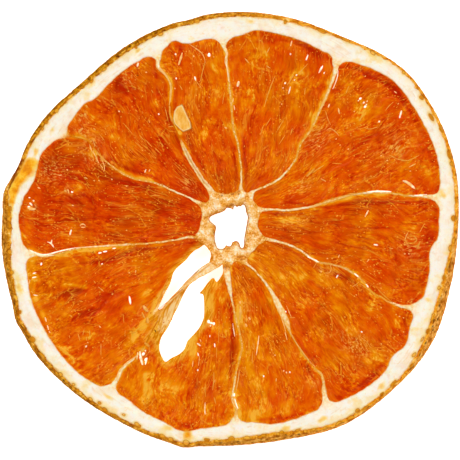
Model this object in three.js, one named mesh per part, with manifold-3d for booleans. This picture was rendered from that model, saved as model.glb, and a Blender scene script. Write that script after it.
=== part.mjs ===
// A dried orange slice, cut across the fruit so that all ten segments show.
//
// It is made of two tissues that both run through the thickness:
//   pith_frame  the peel ring, the ten membranes and the core, which are one piece of pith
//   pulp_NN     the ten wedges of dried pulp, each in its own cell of the frame
//
// Millimetres and degrees. +Z is up, the slice lies flat on its peel ring, and the origin is at
// the centre of the slice's outline, on the surface that it rests on.

import * as THREE from "three";
import { mergeVertices } from "three/addons/utils/BufferGeometryUtils.js";
import Module from "manifold-3d";

const wasm = await Module();
wasm.setup();

// Driving dimensions
const RING_HEIGHT = 4.0; // peel ring, the thickest part of the slice
const MEMBRANE_HALF = 0.34; // half the thickness of a membrane at mid height
const STRAND_EXTRA = 0.14; // what the bare membrane between the two tears has on top of that
const CELL_WAIST = 1.8; // height at which a cell is narrowest
const CELL_FLARE = 0.12; // how far the pith leans back from a cell, for each mm above the waist
const CELL_UNDERCUT = 0.08; // the same for each mm below it
const CORNER = 1.7; // radius of a cell's two corners at the peel
const CORE_CORNER = 0.5; // radius of its two corners at the core
const PULP_GAP = 0.3; // shrinkage gap between pulp and frame
const PULP_TOP = 2.75; // highest pulp, beside the membranes
const PULP_BOTTOM = 1.05; // lowest pulp
const PULP_DISH = 0.4; // how far the pulp has sunk in the middle of a cell
const PULP_RIDGE = 0.13; // half the height of the ridges that the juice sacs leave
const THROUGH = 1.5; // how far a cutter runs past the ring on either side

// How finely the curves are divided: the rind, a cell's outline and the net of a wedge of pulp
const RIM_STEPS = 112;
const DISH_STEPS = 40;
const CELL_ALONG = 8;
const CELL_ACROSS = 10;
const PULP_ALONG = 8;
const PULP_ACROSS = 8;

const CREAM = "#f4dcb4";
const ORANGE = "#d8660c";

// Outline of the rind, every 15 degrees from +X: its radius, and how far the rind's outer face
// leans in from there to the upper cut, because the slice is cut off the middle of the fruit.
const RIM = [
  [34.15, 0.3], [34.9, 0.1], [35.3, 0.1], [35.0, 0.1], [33.3, 0.1], [32.85, 0.1],
  [32.5, 0.2], [32.0, 0.2], [31.5, 0.2], [31.2, 0.2], [32.45, 0.2], [33.4, 0.4],
  [34.2, 0.6], [34.35, 0.2], [34.7, 0.1], [33.9, 0.1], [33.25, 0.15], [33.2, 0.3],
  [32.45, 0.7], [32.65, 0.9], [33.9, 0.35], [34.25, 0.3], [34.75, 1.9], [34.15, 1.1],
];
// Dents and bulges that drying left in the outline: angle, height and half width in degrees
const BUMPS = [
  [171, 0.55, 4], [163, -0.25, 4], [203, 0.3, 2.5], [258, 0.35, 3], [101, -0.2, 3], [40, 0.15, 5],
];
// The rind's side from the bottom up: height, inset from the outline, share of the lean
const SIDE = [
  [0.0, 0.75, 0.0], [0.35, 0.25, 0.0], [1.2, 0.0, 0.0], [2.5, 0.1, 0.5], [3.6, 0.4, 0.95],
  [4.0, 0.85, 1.0],
];

// Radii at which every membrane's angle is given
const STATIONS = [6, 10, 14, 18, 22, 26];
// The ten segments, anticlockwise. membrane: the angle of the membrane that begins the segment,
// at each of STATIONS. foot: the angle at which it meets the peel. core: the radius at which
// the cell starts. wall: angles and radii of the pith that closes the cell.
const SEGMENTS = [
  { membrane: [28, 17.1, 15.5, 15.8, 14.6, 11.5], foot: 8.5, core: 5.4,
    wall: [[13, 32.1], [20, 32.6], [31, 32.7], [42.5, 32.7], [50, 31.6], [54, 30.8]] },
  { membrane: [56, 46.2, 46.5, 50.7, 52.8, 55], foot: 57.4, core: 6.0,
    wall: [[61, 29.8], [68, 29.9], [76, 29.8], [83, 29.7], [88, 28.7]] },
  { membrane: [75, 81, 86.2, 89.1, 90.4, 91.5], foot: 92, core: 5.2,
    wall: [[95, 28.4], [99, 28.3], [103, 28.2], [107, 29.1], [110, 28.6]] },
  { membrane: [116.5, 119.3, 118.4, 119.3, 114, 113], foot: 112.7, core: 5.3,
    wall: [[116, 28.4], [123, 28.3], [131, 28.0], [135.7, 27.8], [140, 28.5], [147, 28.5]] },
  { membrane: [140, 145, 149.3, 152.6, 150.7, 149], foot: 150.4, core: 4.5,
    wall: [[153, 29.3], [158, 30.1], [166, 30.0], [172, 31.0], [178, 31.4], [183, 31.0]] },
  { membrane: [191.3, 190.8, 189.2, 187.7, 187.3, 188.2], foot: 187, core: 4.4,
    wall: [[191, 30.8], [199, 31.3], [208, 31.3], [219, 31.2], [227, 30.8]] },
  { membrane: [243, 232.2, 230.2, 231.8, 233.8, 232.5], foot: 233.3, core: 5.4, strand: true,
    wall: [[237, 29.5], [244, 30.0], [251, 30.3], [257, 30.8], [263, 29.8]] },
  { membrane: [262.5, 270, 274.3, 275.6, 272.1, 271.3], foot: 271.4, core: 4.9,
    wall: [[275, 28.8], [282, 29.6], [290, 29.8], [296, 29.8]] },
  { membrane: [297, 303.1, 302.2, 300.3, 300.7, 302.4], foot: 299.3, core: 4.8,
    wall: [[303, 30.4], [310, 31.0], [318, 31.2], [322, 30.6], [327, 31.2], [333, 30.3]] },
  { membrane: [345, 344.1, 339.5, 341.2, 337.7, 335.4], foot: 337.3, core: 4.2,
    wall: [[341, 30.4], [348, 30.2], [353, 29.8], [358, 30.9], [364, 31.1]] },
];

// How far the core and the membranes have sunk below the ring's upper surface, and above its
// lower one: radius and depth
const UPPER_DISH = [[0, 0.7], [5, 0.75], [15, 1.15], [24, 0.8], [27.2, -0.1]];
const LOWER_DISH = [[0, 0.6], [5, 0.65], [15, 0.95], [24, 0.6], [27.0, -0.1]];

// The hollow core
const CORE_HOLE = [
  [2.6, 2.0], [2.4, 3.2], [1.9, 3.7], [0.4, 3.0], [-0.5, 3.2], [-1.0, 2.6], [-2.1, 2.4],
  [-3.0, 1.8], [-3.0, 1.2], [-2.2, 0.3], [-2.3, -1.2], [-2.1, -2.85], [2.15, -2.75],
  [2.3, -0.4],
];
// The pulp that is torn away on either side of the bare membrane, each up to its middle
const WIDE_TEAR = {
  segment: 6,
  edge: [
    [-1.0, -4.4], [-1.1, -6.5], [-2.0, -8.0], [-2.4, -7.2], [-4.5, -9.6], [-3.9, -10.2],
    [-3.85, -13.0], [-6.6, -17.5], [-9.6, -19.9], [-10.5, -18.0], [-10.3, -16.3], [-8.2, -12.4],
    [-9.6, -11.4], [-7.5, -9.2], [-4.5, -6.6], [-2.8, -4.5],
  ],
};
const NARROW_TEAR = {
  segment: 5,
  edge: [
    [-3.4, -1.9], [-6.0, -3.9], [-8.0, -5.9], [-8.7, -7.5], [-10.8, -12.0], [-9.6, -11.6],
    [-7.5, -9.2], [-4.5, -6.6], [-2.4, -4.4],
  ],
};

const { degToRad, radToDeg, lerp } = THREE.MathUtils;

// A smooth curve y(x) through [x, y] pairs. With a period it closes on itself, and without one
// it keeps its end values.
function curveThrough(pairs, period = 0) {
  const count = pairs.length;
  const pairAt = (i) => {
    if (!period) return pairs[THREE.MathUtils.clamp(i, 0, count - 1)];
    const [x, y] = pairs[((i % count) + count) % count];
    return [x + Math.floor(i / count) * period, y];
  };
  const slopeAt = (i) => {
    const [before, after] = [pairAt(i - 1), pairAt(i + 1)];
    return after[0] === before[0] ? 0 : (after[1] - before[1]) / (after[0] - before[0]);
  };
  return (x) => {
    const start = pairs[0][0];
    const at = period ? start + THREE.MathUtils.euclideanModulo(x - start, period) : x;
    if (!period && at <= start) return pairs[0][1];
    if (!period && at >= pairs[count - 1][0]) return pairs[count - 1][1];
    let i = 0;
    while (pairAt(i + 1)[0] < at) i += 1;
    const [x0, y0] = pairAt(i);
    const [x1, y1] = pairAt(i + 1);
    const span = x1 - x0;
    const t = (at - x0) / span;
    const rise = 3 * t * t - 2 * t * t * t;
    const leave = t * (1 - t) * (1 - t) * slopeAt(i);
    const arrive = t * t * (1 - t) * slopeAt(i + 1);
    return lerp(y0, y1, rise) + span * (leave - arrive);
  };
}

const RIM_SPACING = 360 / RIM.length;
const rimRadius = curveThrough(RIM.map(([radius], i) => [i * RIM_SPACING, radius]), 360);
const rimLean = curveThrough(RIM.map(([, lean], i) => [i * RIM_SPACING, lean]), 360);
const wallRadius = curveThrough(
  SEGMENTS.flatMap((segment) => segment.wall).sort(([a], [b]) => a - b), 360);
const membraneAngles = SEGMENTS.map(({ membrane }) =>
  curveThrough(STATIONS.map((radius, i) => [radius, membrane[i]])));

function outlineRadius(angle) {
  const bumps = BUMPS.map(([at, height, width]) => {
    const away = THREE.MathUtils.euclideanModulo(angle - at + 180, 360) - 180;
    return height * Math.exp(-((away / width) ** 2));
  });
  return bumps.reduce((sum, bump) => sum + bump, rimRadius(angle));
}

function polar(radius, angle, z = 0) {
  const turn = degToRad(angle);
  return new THREE.Vector3(radius * Math.cos(turn), radius * Math.sin(turn), z);
}

// How far a round corner of that radius stands in from the wall, at that distance from its side
function cornerInset(distance, radius) {
  const short = Math.max(0, radius - distance);
  return radius - Math.sqrt(radius * radius - short * short);
}

// A point of a cell: u runs from the membrane that begins it to the next one, v from the core
// to the peel, and inset moves the cell's edge inwards.
function cellPoint(index, u, v, inset) {
  const next = (index + 1) % SEGMENTS.length;
  const turn = next === 0 ? 360 : 0;
  const [begin, end] = [SEGMENTS[index], SEGMENTS[next]];
  const half = (segment) => MEMBRANE_HALF + (segment.strand ? STRAND_EXTRA : 0) + inset;
  const wall = wallRadius(lerp(begin.foot, end.foot + turn, u));
  const width = degToRad(end.foot + turn - begin.foot) * wall;
  const fromSides = [u * width, (1 - u) * width];
  const corners = fromSides.reduce((sum, distance) => sum + cornerInset(distance, CORNER), 0);
  const coreWidth = (width * begin.core) / wall;
  const coreCorners = [u * coreWidth, (1 - u) * coreWidth]
    .reduce((sum, distance) => sum + cornerInset(distance, CORE_CORNER), 0);
  const radius = lerp(begin.core + inset + coreCorners, wall - inset - corners, v);
  const from = membraneAngles[index](radius) + radToDeg(half(begin) / radius);
  const to = membraneAngles[next](radius) + turn - radToDeg(half(end) / radius);
  return polar(radius, lerp(from, to, u));
}

// Steps from 0 to 1 that are closer together at both ends, where a cell's corners are
const stepsTo = (count) => Array.from({ length: count + 1 }, (_, i) => {
  const eased = (1 - Math.cos((Math.PI * i) / count)) / 2;
  return lerp(i / count, eased, 0.7);
});

// A cell's outline, anticlockwise
function cellOutline(index, inset, z) {
  const along = stepsTo(CELL_ALONG);
  const across = stepsTo(CELL_ACROSS);
  const places = [
    ...along.slice(0, -1).map((v) => [0, v]),
    ...across.slice(0, -1).map((u) => [u, 1]),
    ...along.slice(1).reverse().map((v) => [1, v]),
    ...across.slice(1).reverse().map((u) => [u, 0]),
  ];
  return places.map(([u, v]) => cellPoint(index, u, v, inset).setZ(z));
}

function meshGeometry(points, triangles) {
  return new THREE.BufferGeometry().setFromPoints(points).setIndex(triangles.flat());
}

// A closed solid through rings of points, from the lowest to the highest
function loft(rings) {
  const count = rings[0].length;
  const cap = (ring) => THREE.ShapeUtils.triangulateShape(ring, []);
  const last = (rings.length - 1) * count;
  const triangles = [
    ...cap(rings[0]).map(([a, b, c]) => [a, c, b]),
    ...cap(rings[rings.length - 1]).map((corners) => corners.map((corner) => corner + last)),
  ];
  for (let level = 0; level < rings.length - 1; level += 1) {
    for (let i = 0; i < count; i += 1) {
      const [a, b] = [level * count + i, level * count + ((i + 1) % count)];
      triangles.push([a, b, b + count], [a, b + count, a + count]);
    }
  }
  return meshGeometry(rings.flat(), triangles);
}

// A geometry as a manifold-3d solid, and back
function solidOf(geometry) {
  const bare = geometry.clone();
  bare.deleteAttribute("normal");
  bare.deleteAttribute("uv");
  const merged = mergeVertices(bare, 1e-4);
  return new wasm.Manifold(new wasm.Mesh({
    numProp: 3,
    vertProperties: new Float32Array(merged.attributes.position.array),
    triVerts: new Uint32Array(merged.index.array),
  }));
}

function geometryOf(solid) {
  const mesh = solid.getMesh();
  const geometry = new THREE.BufferGeometry()
    .setAttribute("position", new THREE.BufferAttribute(new Float32Array(mesh.vertProperties), 3))
    .setIndex(new THREE.BufferAttribute(new Uint32Array(mesh.triVerts), 1));
  geometry.computeVertexNormals();
  return geometry;
}

// A straight cutter through the slice, from an outline in either direction
function cutter(outline) {
  const shape = new THREE.Shape(outline.map(([x, y]) => new THREE.Vector2(x, y)));
  const depth = RING_HEIGHT + 2 * THROUGH;
  return solidOf(new THREE.ExtrudeGeometry(shape, { depth, bevelEnabled: false })
    .translate(0, 0, -THROUGH));
}

// The whole slice as a disc, with the rind's rounded side
function disc() {
  const angles = Array.from({ length: RIM_STEPS }, (_, i) => (i * 360) / RIM_STEPS);
  return solidOf(loft(SIDE.map(([z, inset, share]) => angles.map((angle) =>
    polar(outlineRadius(angle) - inset - share * rimLean(angle), angle, z)))));
}

// A hollow of revolution that sinks the membranes and the core below the peel ring, from above
// or from below. Each pair is a radius and how deep the hollow is there.
function dish(pairs, from, outwards) {
  const far = from + outwards * THROUGH;
  const inside = pairs.map(([radius, depth]) =>
    new THREE.Vector2(radius, from - outwards * depth));
  const profile = [...inside, new THREE.Vector2(pairs[pairs.length - 1][0], far),
    new THREE.Vector2(0, far)];
  const upwards = outwards > 0 ? profile : profile.reverse();
  return solidOf(new THREE.LatheGeometry(upwards, DISH_STEPS).rotateX(Math.PI / 2));
}

// The hole that a cell leaves in the frame, narrowest at its waist
function cellCutter(index) {
  const [lowest, highest] = [-THROUGH, RING_HEIGHT + THROUGH];
  return solidOf(loft([
    cellOutline(index, CELL_UNDERCUT * (lowest - CELL_WAIST), lowest),
    cellOutline(index, 0, CELL_WAIST),
    cellOutline(index, CELL_FLARE * (CELL_WAIST - highest), highest),
  ]));
}

function pithFrame() {
  let solid = disc()
    .subtract(dish(UPPER_DISH, RING_HEIGHT, 1))
    .subtract(dish(LOWER_DISH, 0, -1))
    .subtract(cutter(CORE_HOLE));
  SEGMENTS.forEach((_, index) => { solid = solid.subtract(cellCutter(index)); });
  return geometryOf(solid);
}

// One wedge of pulp: a net of points over its cell, with ridges from the core to the peel, sunk
// in the middle, as an upper skin and a lower one
function pulpWedge(index) {
  const along = stepsTo(PULP_ALONG);
  const across = stepsTo(PULP_ACROSS);
  const wide = across.length;
  const upper = [];
  const lower = [];
  along.forEach((v) => across.forEach((u, i) => {
    const place = cellPoint(index, u, v, PULP_GAP);
    const middle = Math.sin(Math.PI * u) * Math.sin(Math.PI * (0.1 + 0.8 * v));
    const inside = i > 0 && i < wide - 1;
    const ridge = inside ? PULP_RIDGE * (i % 2 ? -1 : 1) * Math.sin(Math.PI * v) : -PULP_RIDGE;
    upper.push(place.clone().setZ(PULP_TOP - PULP_DISH * middle + ridge));
    lower.push(place.clone().setZ(PULP_BOTTOM + 0.6 * (PULP_DISH * middle - ridge)));
  }));
  const triangles = [];
  const at = (i, j) => j * wide + i;
  const below = upper.length;
  for (let j = 0; j < along.length - 1; j += 1) {
    for (let i = 0; i < wide - 1; i += 1) {
      const [a, b, c, d] = [at(i, j), at(i, j + 1), at(i + 1, j + 1), at(i + 1, j)];
      triangles.push([a, b, c], [a, c, d], [a + below, c + below, b + below],
        [a + below, d + below, c + below]);
    }
  }
  const lastRow = along.length - 1;
  const edge = [
    ...along.slice(0, -1).map((_, j) => at(0, j)),
    ...across.slice(0, -1).map((_, i) => at(i, lastRow)),
    ...along.slice(1).map((_, j) => at(wide - 1, lastRow - j)),
    ...across.slice(1).map((_, i) => at(wide - 1 - i, 0)),
  ];
  edge.forEach((a, i) => {
    const b = edge[(i + 1) % edge.length];
    triangles.push([a + below, b + below, b], [a + below, b, a]);
  });
  return meshGeometry([...upper, ...lower], triangles);
}

function pulp(index) {
  const tears = [WIDE_TEAR, NARROW_TEAR].filter((tear) => tear.segment === index);
  return geometryOf(tears.reduce(
    (solid, tear) => solid.subtract(cutter(tear.edge)), solidOf(pulpWedge(index))));
}

function namedMesh(name, geometry, color, roughness) {
  const material = new THREE.MeshStandardMaterial({ color, roughness, metalness: 0 });
  const mesh = new THREE.Mesh(geometry, material);
  mesh.name = name;
  return mesh;
}

const slice = new THREE.Group();
const frame = namedMesh("pith_frame", pithFrame(), CREAM, 0.85);
slice.add(frame);
SEGMENTS.forEach((_, index) => {
  const name = `pulp_${String(index + 1).padStart(2, "0")}`;
  slice.add(namedMesh(name, pulp(index), ORANGE, 0.35));
});

// The origin goes to the middle of the outline
frame.geometry.computeBoundingBox();
const middle = frame.geometry.boundingBox.getCenter(new THREE.Vector3());
slice.position.set(-middle.x, -middle.y, 0);

export default slice;
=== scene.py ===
# %% [markdown]
# # A dried orange slice
#
# A slice of orange that was cut across the fruit and dried slowly until it was stiff. A learner
# can read it as three tissues. The rind is a thin brown skin full of oil glands. The pith is the
# cream, spongy ring inside it, with ten membranes that run in to a hollow core. The pulp is ten
# wedges of juice sacs that have collapsed into a glossy, wrinkled, see-through skin.
#
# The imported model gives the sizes, so it is loaded first. Everything below is made in
# millimetres on the slice's own plan and turned into metres when a mesh is written.

import math

import bpy
import numpy as np
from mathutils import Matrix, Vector
from mathutils.bvhtree import BVHTree
from mathutils.geometry import delaunay_2d_cdt
from mathutils.kdtree import KDTree


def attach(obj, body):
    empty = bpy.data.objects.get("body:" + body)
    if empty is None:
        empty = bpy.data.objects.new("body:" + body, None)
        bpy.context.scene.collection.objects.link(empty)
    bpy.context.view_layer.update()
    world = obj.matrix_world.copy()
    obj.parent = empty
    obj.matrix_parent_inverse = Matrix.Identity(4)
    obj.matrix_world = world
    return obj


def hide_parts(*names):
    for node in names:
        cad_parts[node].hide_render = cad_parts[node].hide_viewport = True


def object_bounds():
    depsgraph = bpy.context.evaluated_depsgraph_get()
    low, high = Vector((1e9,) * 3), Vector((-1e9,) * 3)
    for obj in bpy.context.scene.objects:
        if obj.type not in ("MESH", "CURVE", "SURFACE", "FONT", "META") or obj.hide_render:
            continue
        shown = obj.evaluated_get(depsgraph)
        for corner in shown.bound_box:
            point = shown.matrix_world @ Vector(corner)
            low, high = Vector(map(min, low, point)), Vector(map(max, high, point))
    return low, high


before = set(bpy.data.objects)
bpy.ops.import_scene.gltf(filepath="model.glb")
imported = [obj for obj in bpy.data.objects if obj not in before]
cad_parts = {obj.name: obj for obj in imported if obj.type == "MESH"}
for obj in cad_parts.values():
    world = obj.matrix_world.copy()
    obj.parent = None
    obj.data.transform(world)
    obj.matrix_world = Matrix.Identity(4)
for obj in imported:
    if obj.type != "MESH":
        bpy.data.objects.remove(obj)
cad_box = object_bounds()
MM = 0.001
slice_low, slice_high = (np.array(corner) / MM for corner in cad_box)
RING_HEIGHT = slice_high[2]
print("the slice measures", (slice_high - slice_low).round(2), "mm")

# %% [markdown]
# ## The camera
#
# The slice is seen from straight above. A long lens far away keeps the rind's side from
# spreading towards the edges of the view, which a short lens close by would do.

# %% Camera
VIEW_WIDTH = 68.3  # mm of the slice's plane that the view takes in
LENS_DISTANCE = 600.0
SENSOR_WIDTH = 36.0

camera_data = bpy.data.cameras.new("camera")
camera_data.sensor_width = SENSOR_WIDTH
camera_data.lens = SENSOR_WIDTH * (LENS_DISTANCE - RING_HEIGHT) / VIEW_WIDTH
camera_data.clip_end = 10
camera = bpy.data.objects.new("camera", camera_data)
view_middle = (slice_low + slice_high) / 2 - np.array([0, 0.08, 0])
camera.location = Vector((view_middle[0], view_middle[1], LENS_DISTANCE)) * MM
bpy.context.scene.collection.objects.link(camera)
bpy.context.scene.camera = camera
print("lens", round(camera_data.lens), "mm")

# %% [markdown]
# ## Small tools for shapes
#
# Tissue has no straight edges, so its plan is given by smooth curves through a few points.
# `curve_through` is such a curve, and with a period it closes on itself, which suits values
# that change round the slice. `soft_step` blends between two tissues.

# %% Curves
def curve_through(pairs, period=0):
    xs, ys = np.array(pairs, float).T
    start = xs[0]
    if period:
        xs = np.concatenate([xs[-2:] - period, xs, xs[:2] + period])
        ys = np.concatenate([ys[-2:], ys, ys[:2]])
    before, after = np.r_[0, 0:len(xs) - 1], np.r_[1:len(xs), len(xs) - 1]
    slopes = (ys[after] - ys[before]) / (xs[after] - xs[before])

    def value(x):
        x = np.asarray(x, float)
        at = start + np.mod(x - start, period) if period else np.clip(x, xs[0], xs[-1])
        i = np.clip(np.searchsorted(xs, at, side="right") - 1, 0, len(xs) - 2)
        span = xs[i + 1] - xs[i]
        t = (at - xs[i]) / span
        rise = 3 * t**2 - 2 * t**3
        bend = t * (1 - t)**2 * slopes[i] - t**2 * (1 - t) * slopes[i + 1]
        return ys[i] + (ys[i + 1] - ys[i]) * rise + span * bend

    return value


def soft_step(value, low, high):
    t = np.clip((value - low) / (high - low), 0, 1)
    return t * t * (3 - 2 * t)


def polar(points):
    x, y = points[:, 0], points[:, 1]
    return np.hypot(x, y), np.degrees(np.arctan2(y, x)) % 360


def from_polar(radius, angle):
    turn = np.radians(angle)
    return np.stack([radius * np.cos(turn), radius * np.sin(turn)], -1)


print("halfway up a soft step from 0 to 1:", soft_step(0.5, 0, 1))

# %% [markdown]
# Natural surfaces also need noise. `ripples` is smooth gradient noise: it has about one swell
# in each `size` millimetres, and `octaves` adds finer swells on top. `sacs` divides the plane
# into cells, each closest to its own seed point. It gives the distance to the nearest seed, the
# distance to the border with the next cell, a random number for each cell, and how far to the
# side of its seed a point lies. Juice sacs and the pits of the rind are both made from it. All
# random numbers come from seeds, so every run is alike.

# %% Noise
TABLE = 256
gradient_angles = np.random.default_rng(11).uniform(0, 2 * np.pi, (TABLE, TABLE))
seed_places = np.random.default_rng(12).random((TABLE, TABLE, 3))


def ripples(x, y, size, seed=0, octaves=1, stretch=1.0):
    total = np.zeros(np.broadcast(x, y).shape)
    share = 1.0
    for octave in range(octaves):
        scale = 2.0**octave / size
        px = np.asarray(x) * scale + 37.7 * seed + 5.3 * octave
        py = np.asarray(y) * scale / stretch + 91.3 * seed
        ix, iy = np.floor(px).astype(int), np.floor(py).astype(int)
        fx, fy = px - ix, py - iy
        sx, sy = (f * f * f * (f * (f * 6 - 15) + 10) for f in (fx, fy))
        corner = []
        for dx in (0, 1):
            for dy in (0, 1):
                turn = gradient_angles[(ix + dx) % TABLE, (iy + dy) % TABLE]
                corner.append(np.cos(turn) * (fx - dx) + np.sin(turn) * (fy - dy))
        left = corner[0] + (corner[1] - corner[0]) * sy
        right = corner[2] + (corner[3] - corner[2]) * sy
        total += share * 1.5 * (left + (right - left) * sx)
        share *= 0.5
    return total


print("noise ready:", ripples(np.arange(3.0), np.zeros(3), 2.0).round(2))

# %% Sacs
def sacs(x, y, seed=0):
    ix, iy = np.floor(x).astype(int), np.floor(y).astype(int)
    nearest = np.full(x.shape, 9.0)
    second = np.full(x.shape, 9.0)
    number = np.zeros(x.shape)
    sideways = np.zeros(x.shape)
    for dx in (-1, 0, 1):
        for dy in (-1, 0, 1):
            place = seed_places[(ix + dx + 17 * seed) % TABLE, (iy + dy + 29 * seed) % TABLE]
            away = np.hypot(ix + dx + place[..., 0] - x, iy + dy + place[..., 1] - y)
            closer = away < nearest
            second = np.where(closer, nearest, np.minimum(second, away))
            number = np.where(closer, place[..., 2], number)
            sideways = np.where(closer, x - (ix + dx + place[..., 0]), sideways)
            nearest = np.where(closer, away, nearest)
    return nearest, second - nearest, number, sideways


print("distance to the nearest seed:", sacs(np.array([0.5]), np.array([0.5]))[0].round(2))

# %% [markdown]
# ## The slice's plan
#
# The plan is drawn on the cut face, in millimetres from the middle of the core, with angles
# anticlockwise from +X. The rind's outline is a radius for every 15 degrees, with the few dents
# and bulges that drying left. Where the slice was cut away from the fruit's widest part, its
# side leans, so that the rind's outer face shows from above: `RIM_LEAN` says how far.

# %% Outline of the rind
RIM_RADIUS = [
    34.15, 34.9, 35.3, 35.0, 33.3, 32.85, 32.5, 32.0, 31.5, 31.2, 32.45, 33.4,
    34.2, 34.35, 34.7, 33.9, 33.25, 33.2, 32.45, 32.65, 33.9, 34.25, 34.75, 34.15,
]
BUMPS = [(171, 0.55, 4), (163, -0.25, 4), (203, 0.3, 2.5), (258, 0.35, 3), (101, -0.2, 3), (40, 0.15, 5)]
RIM_LEAN = [
    (0, 0.25), (15, 0.1), (60, 0.1), (85, 0.2), (120, 0.25), (150, 0.25), (158, 0.15), (170, 0.2),
    (180, 0.7), (190, 0.45), (215, 0.4), (240, 0.2), (258, 0.3), (270, 0.5), (280, 0.8), (292, 0.4),
    (310, 0.3), (320, 0.3), (328, 0.8), (337, 1.1), (350, 0.8),
]
RIM_STEPS = 112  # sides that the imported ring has
RIM_MARGIN = 0.01  # keeps the rind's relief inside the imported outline

rim_radius = curve_through([(15 * i, radius) for i, radius in enumerate(RIM_RADIUS)], 360)
rim_lean = curve_through(RIM_LEAN, 360)


def outline_radius(angle):
    away = [(np.mod(angle - at + 180, 360) - 180) / width for at, _, width in BUMPS]
    bumps = [height * np.exp(-w**2) for (_, height, _), w in zip(BUMPS, away)]
    return rim_radius(angle) + sum(bumps)


ring_angles = np.arange(RIM_STEPS) * 360 / RIM_STEPS
ring_corners = from_polar(outline_radius(ring_angles), ring_angles)
PLAN_MIDDLE = (ring_corners.min(0) + ring_corners.max(0)) / 2
print("middle of the plan", PLAN_MIDDLE.round(3), "width", np.ptp(ring_corners[:, 0]).round(2))

# %% [markdown]
# Each membrane is a line of points from the core to the peel. Drying has bent every one of them
# in its own way, so no formula gives them.

# %% Lines of the membranes
MEMBRANES = {
    "e": [(4.8, 2.8), (6, 2.9), (8, 2.8), (10, 3), (12, 3.3), (14, 3.9), (16, 4.5), (18, 5.1),
          (20, 5.35), (22, 5.5), (24, 5.3), (26, 5), (28, 4.9), (29.5, 4.8), (30.8, 4.5)],
    "d": [(3.5, 5.6), (4.6, 6.1), (6, 6.7), (7.2, 7.4), (8.3, 8.4), (9.2, 9.6), (9.8, 10.4),
          (10.2, 11.8), (10.7, 12.9), (12.2, 15), (13, 16.8), (13.8, 18.6), (14.6, 20.4),
          (15.2, 22), (15.6, 23.4), (15.7, 24.6)],
    "c": [(1.5, 5.5), (1.65, 7), (1.7, 8.5), (1.5, 10.5), (1.2, 12.5), (0.65, 14.5), (0.35, 16.5),
          (0.2, 18.5), (0, 20.5), (-0.2, 22.5), (-0.5, 24.5), (-0.5, 26.2), (-0.9, 27),
          (-1, 27.8)],
    "b": [(-3, 6), (-4, 7.2), (-5.1, 8.9), (-6.2, 10.8), (-7.2, 12.9), (-8, 14.7), (-8.8, 16.6),
          (-9, 18.5), (-8.9, 20), (-8.8, 21.5), (-9.2, 22.3), (-10, 23.4), (-10.7, 24.2),
          (-10.6, 25.3)],
    "a": [(-4.7, 3.9), (-8, 5.5), (-11, 6.8), (-14, 7.4), (-16, 8.3), (-18, 9.7), (-19.5, 11.1),
          (-21, 13), (-24.3, 13.8)],
    "j": [(-4.2, -1.3), (-6, -1.2), (-8, -1.6), (-10, -1.9), (-13, -2.2), (-16, -2.3),
          (-19, -2.5), (-22, -2.8), (-24, -3.2), (-26, -3.8), (-27.5, -4), (-29, -3.7),
          (-30.2, -3.7)],
    "i": [(-1.8, -5.0), (-3, -5.7), (-4.5, -6.65), (-6, -7.8), (-7.5, -9.3), (-9, -10.8),
          (-10, -12), (-10.5, -13.2), (-11.5, -15), (-12.8, -17.5), (-13.8, -18.8),
          (-15, -19.9), (-16, -20.8), (-16.6, -22), (-17, -22.8)],
    "h": [(-0.5, -5.5), (-0.4, -7), (-0.1, -8.5), (0.16, -10), (0.5, -11.5), (0.8, -13),
          (1.2, -14.5), (1.6, -16), (1.8, -17.5), (1.5, -19), (1.2, -20.5), (0.8, -22),
          (0.6, -23.5), (0.4, -24.8), (0.7, -26), (1, -27), (0.8, -28.2)],
    "g": [(2, -4.7), (3.5, -6), (5, -7.7), (6.2, -9.4), (7, -11), (8, -12.9), (8.5, -14),
          (9, -15.4), (10, -17.2), (11, -18.6), (11.9, -19.9), (12.8, -20.9), (13.6, -21.6),
          (13.85, -22.5), (13.9, -23.5), (14.2, -25.8)],
    "f": [(4.5, -1.3), (6, -1.6), (8, -2.1), (10, -2.9), (11.5, -3.9), (13, -4.9), (15, -5.2),
          (17, -5.8), (18.5, -6.7), (20, -8), (21.5, -9.5), (24, -11), (25.5, -11.5),
          (27, -11.6), (28, -11.7)],
}
print("membranes:", len(MEMBRANES))

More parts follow.
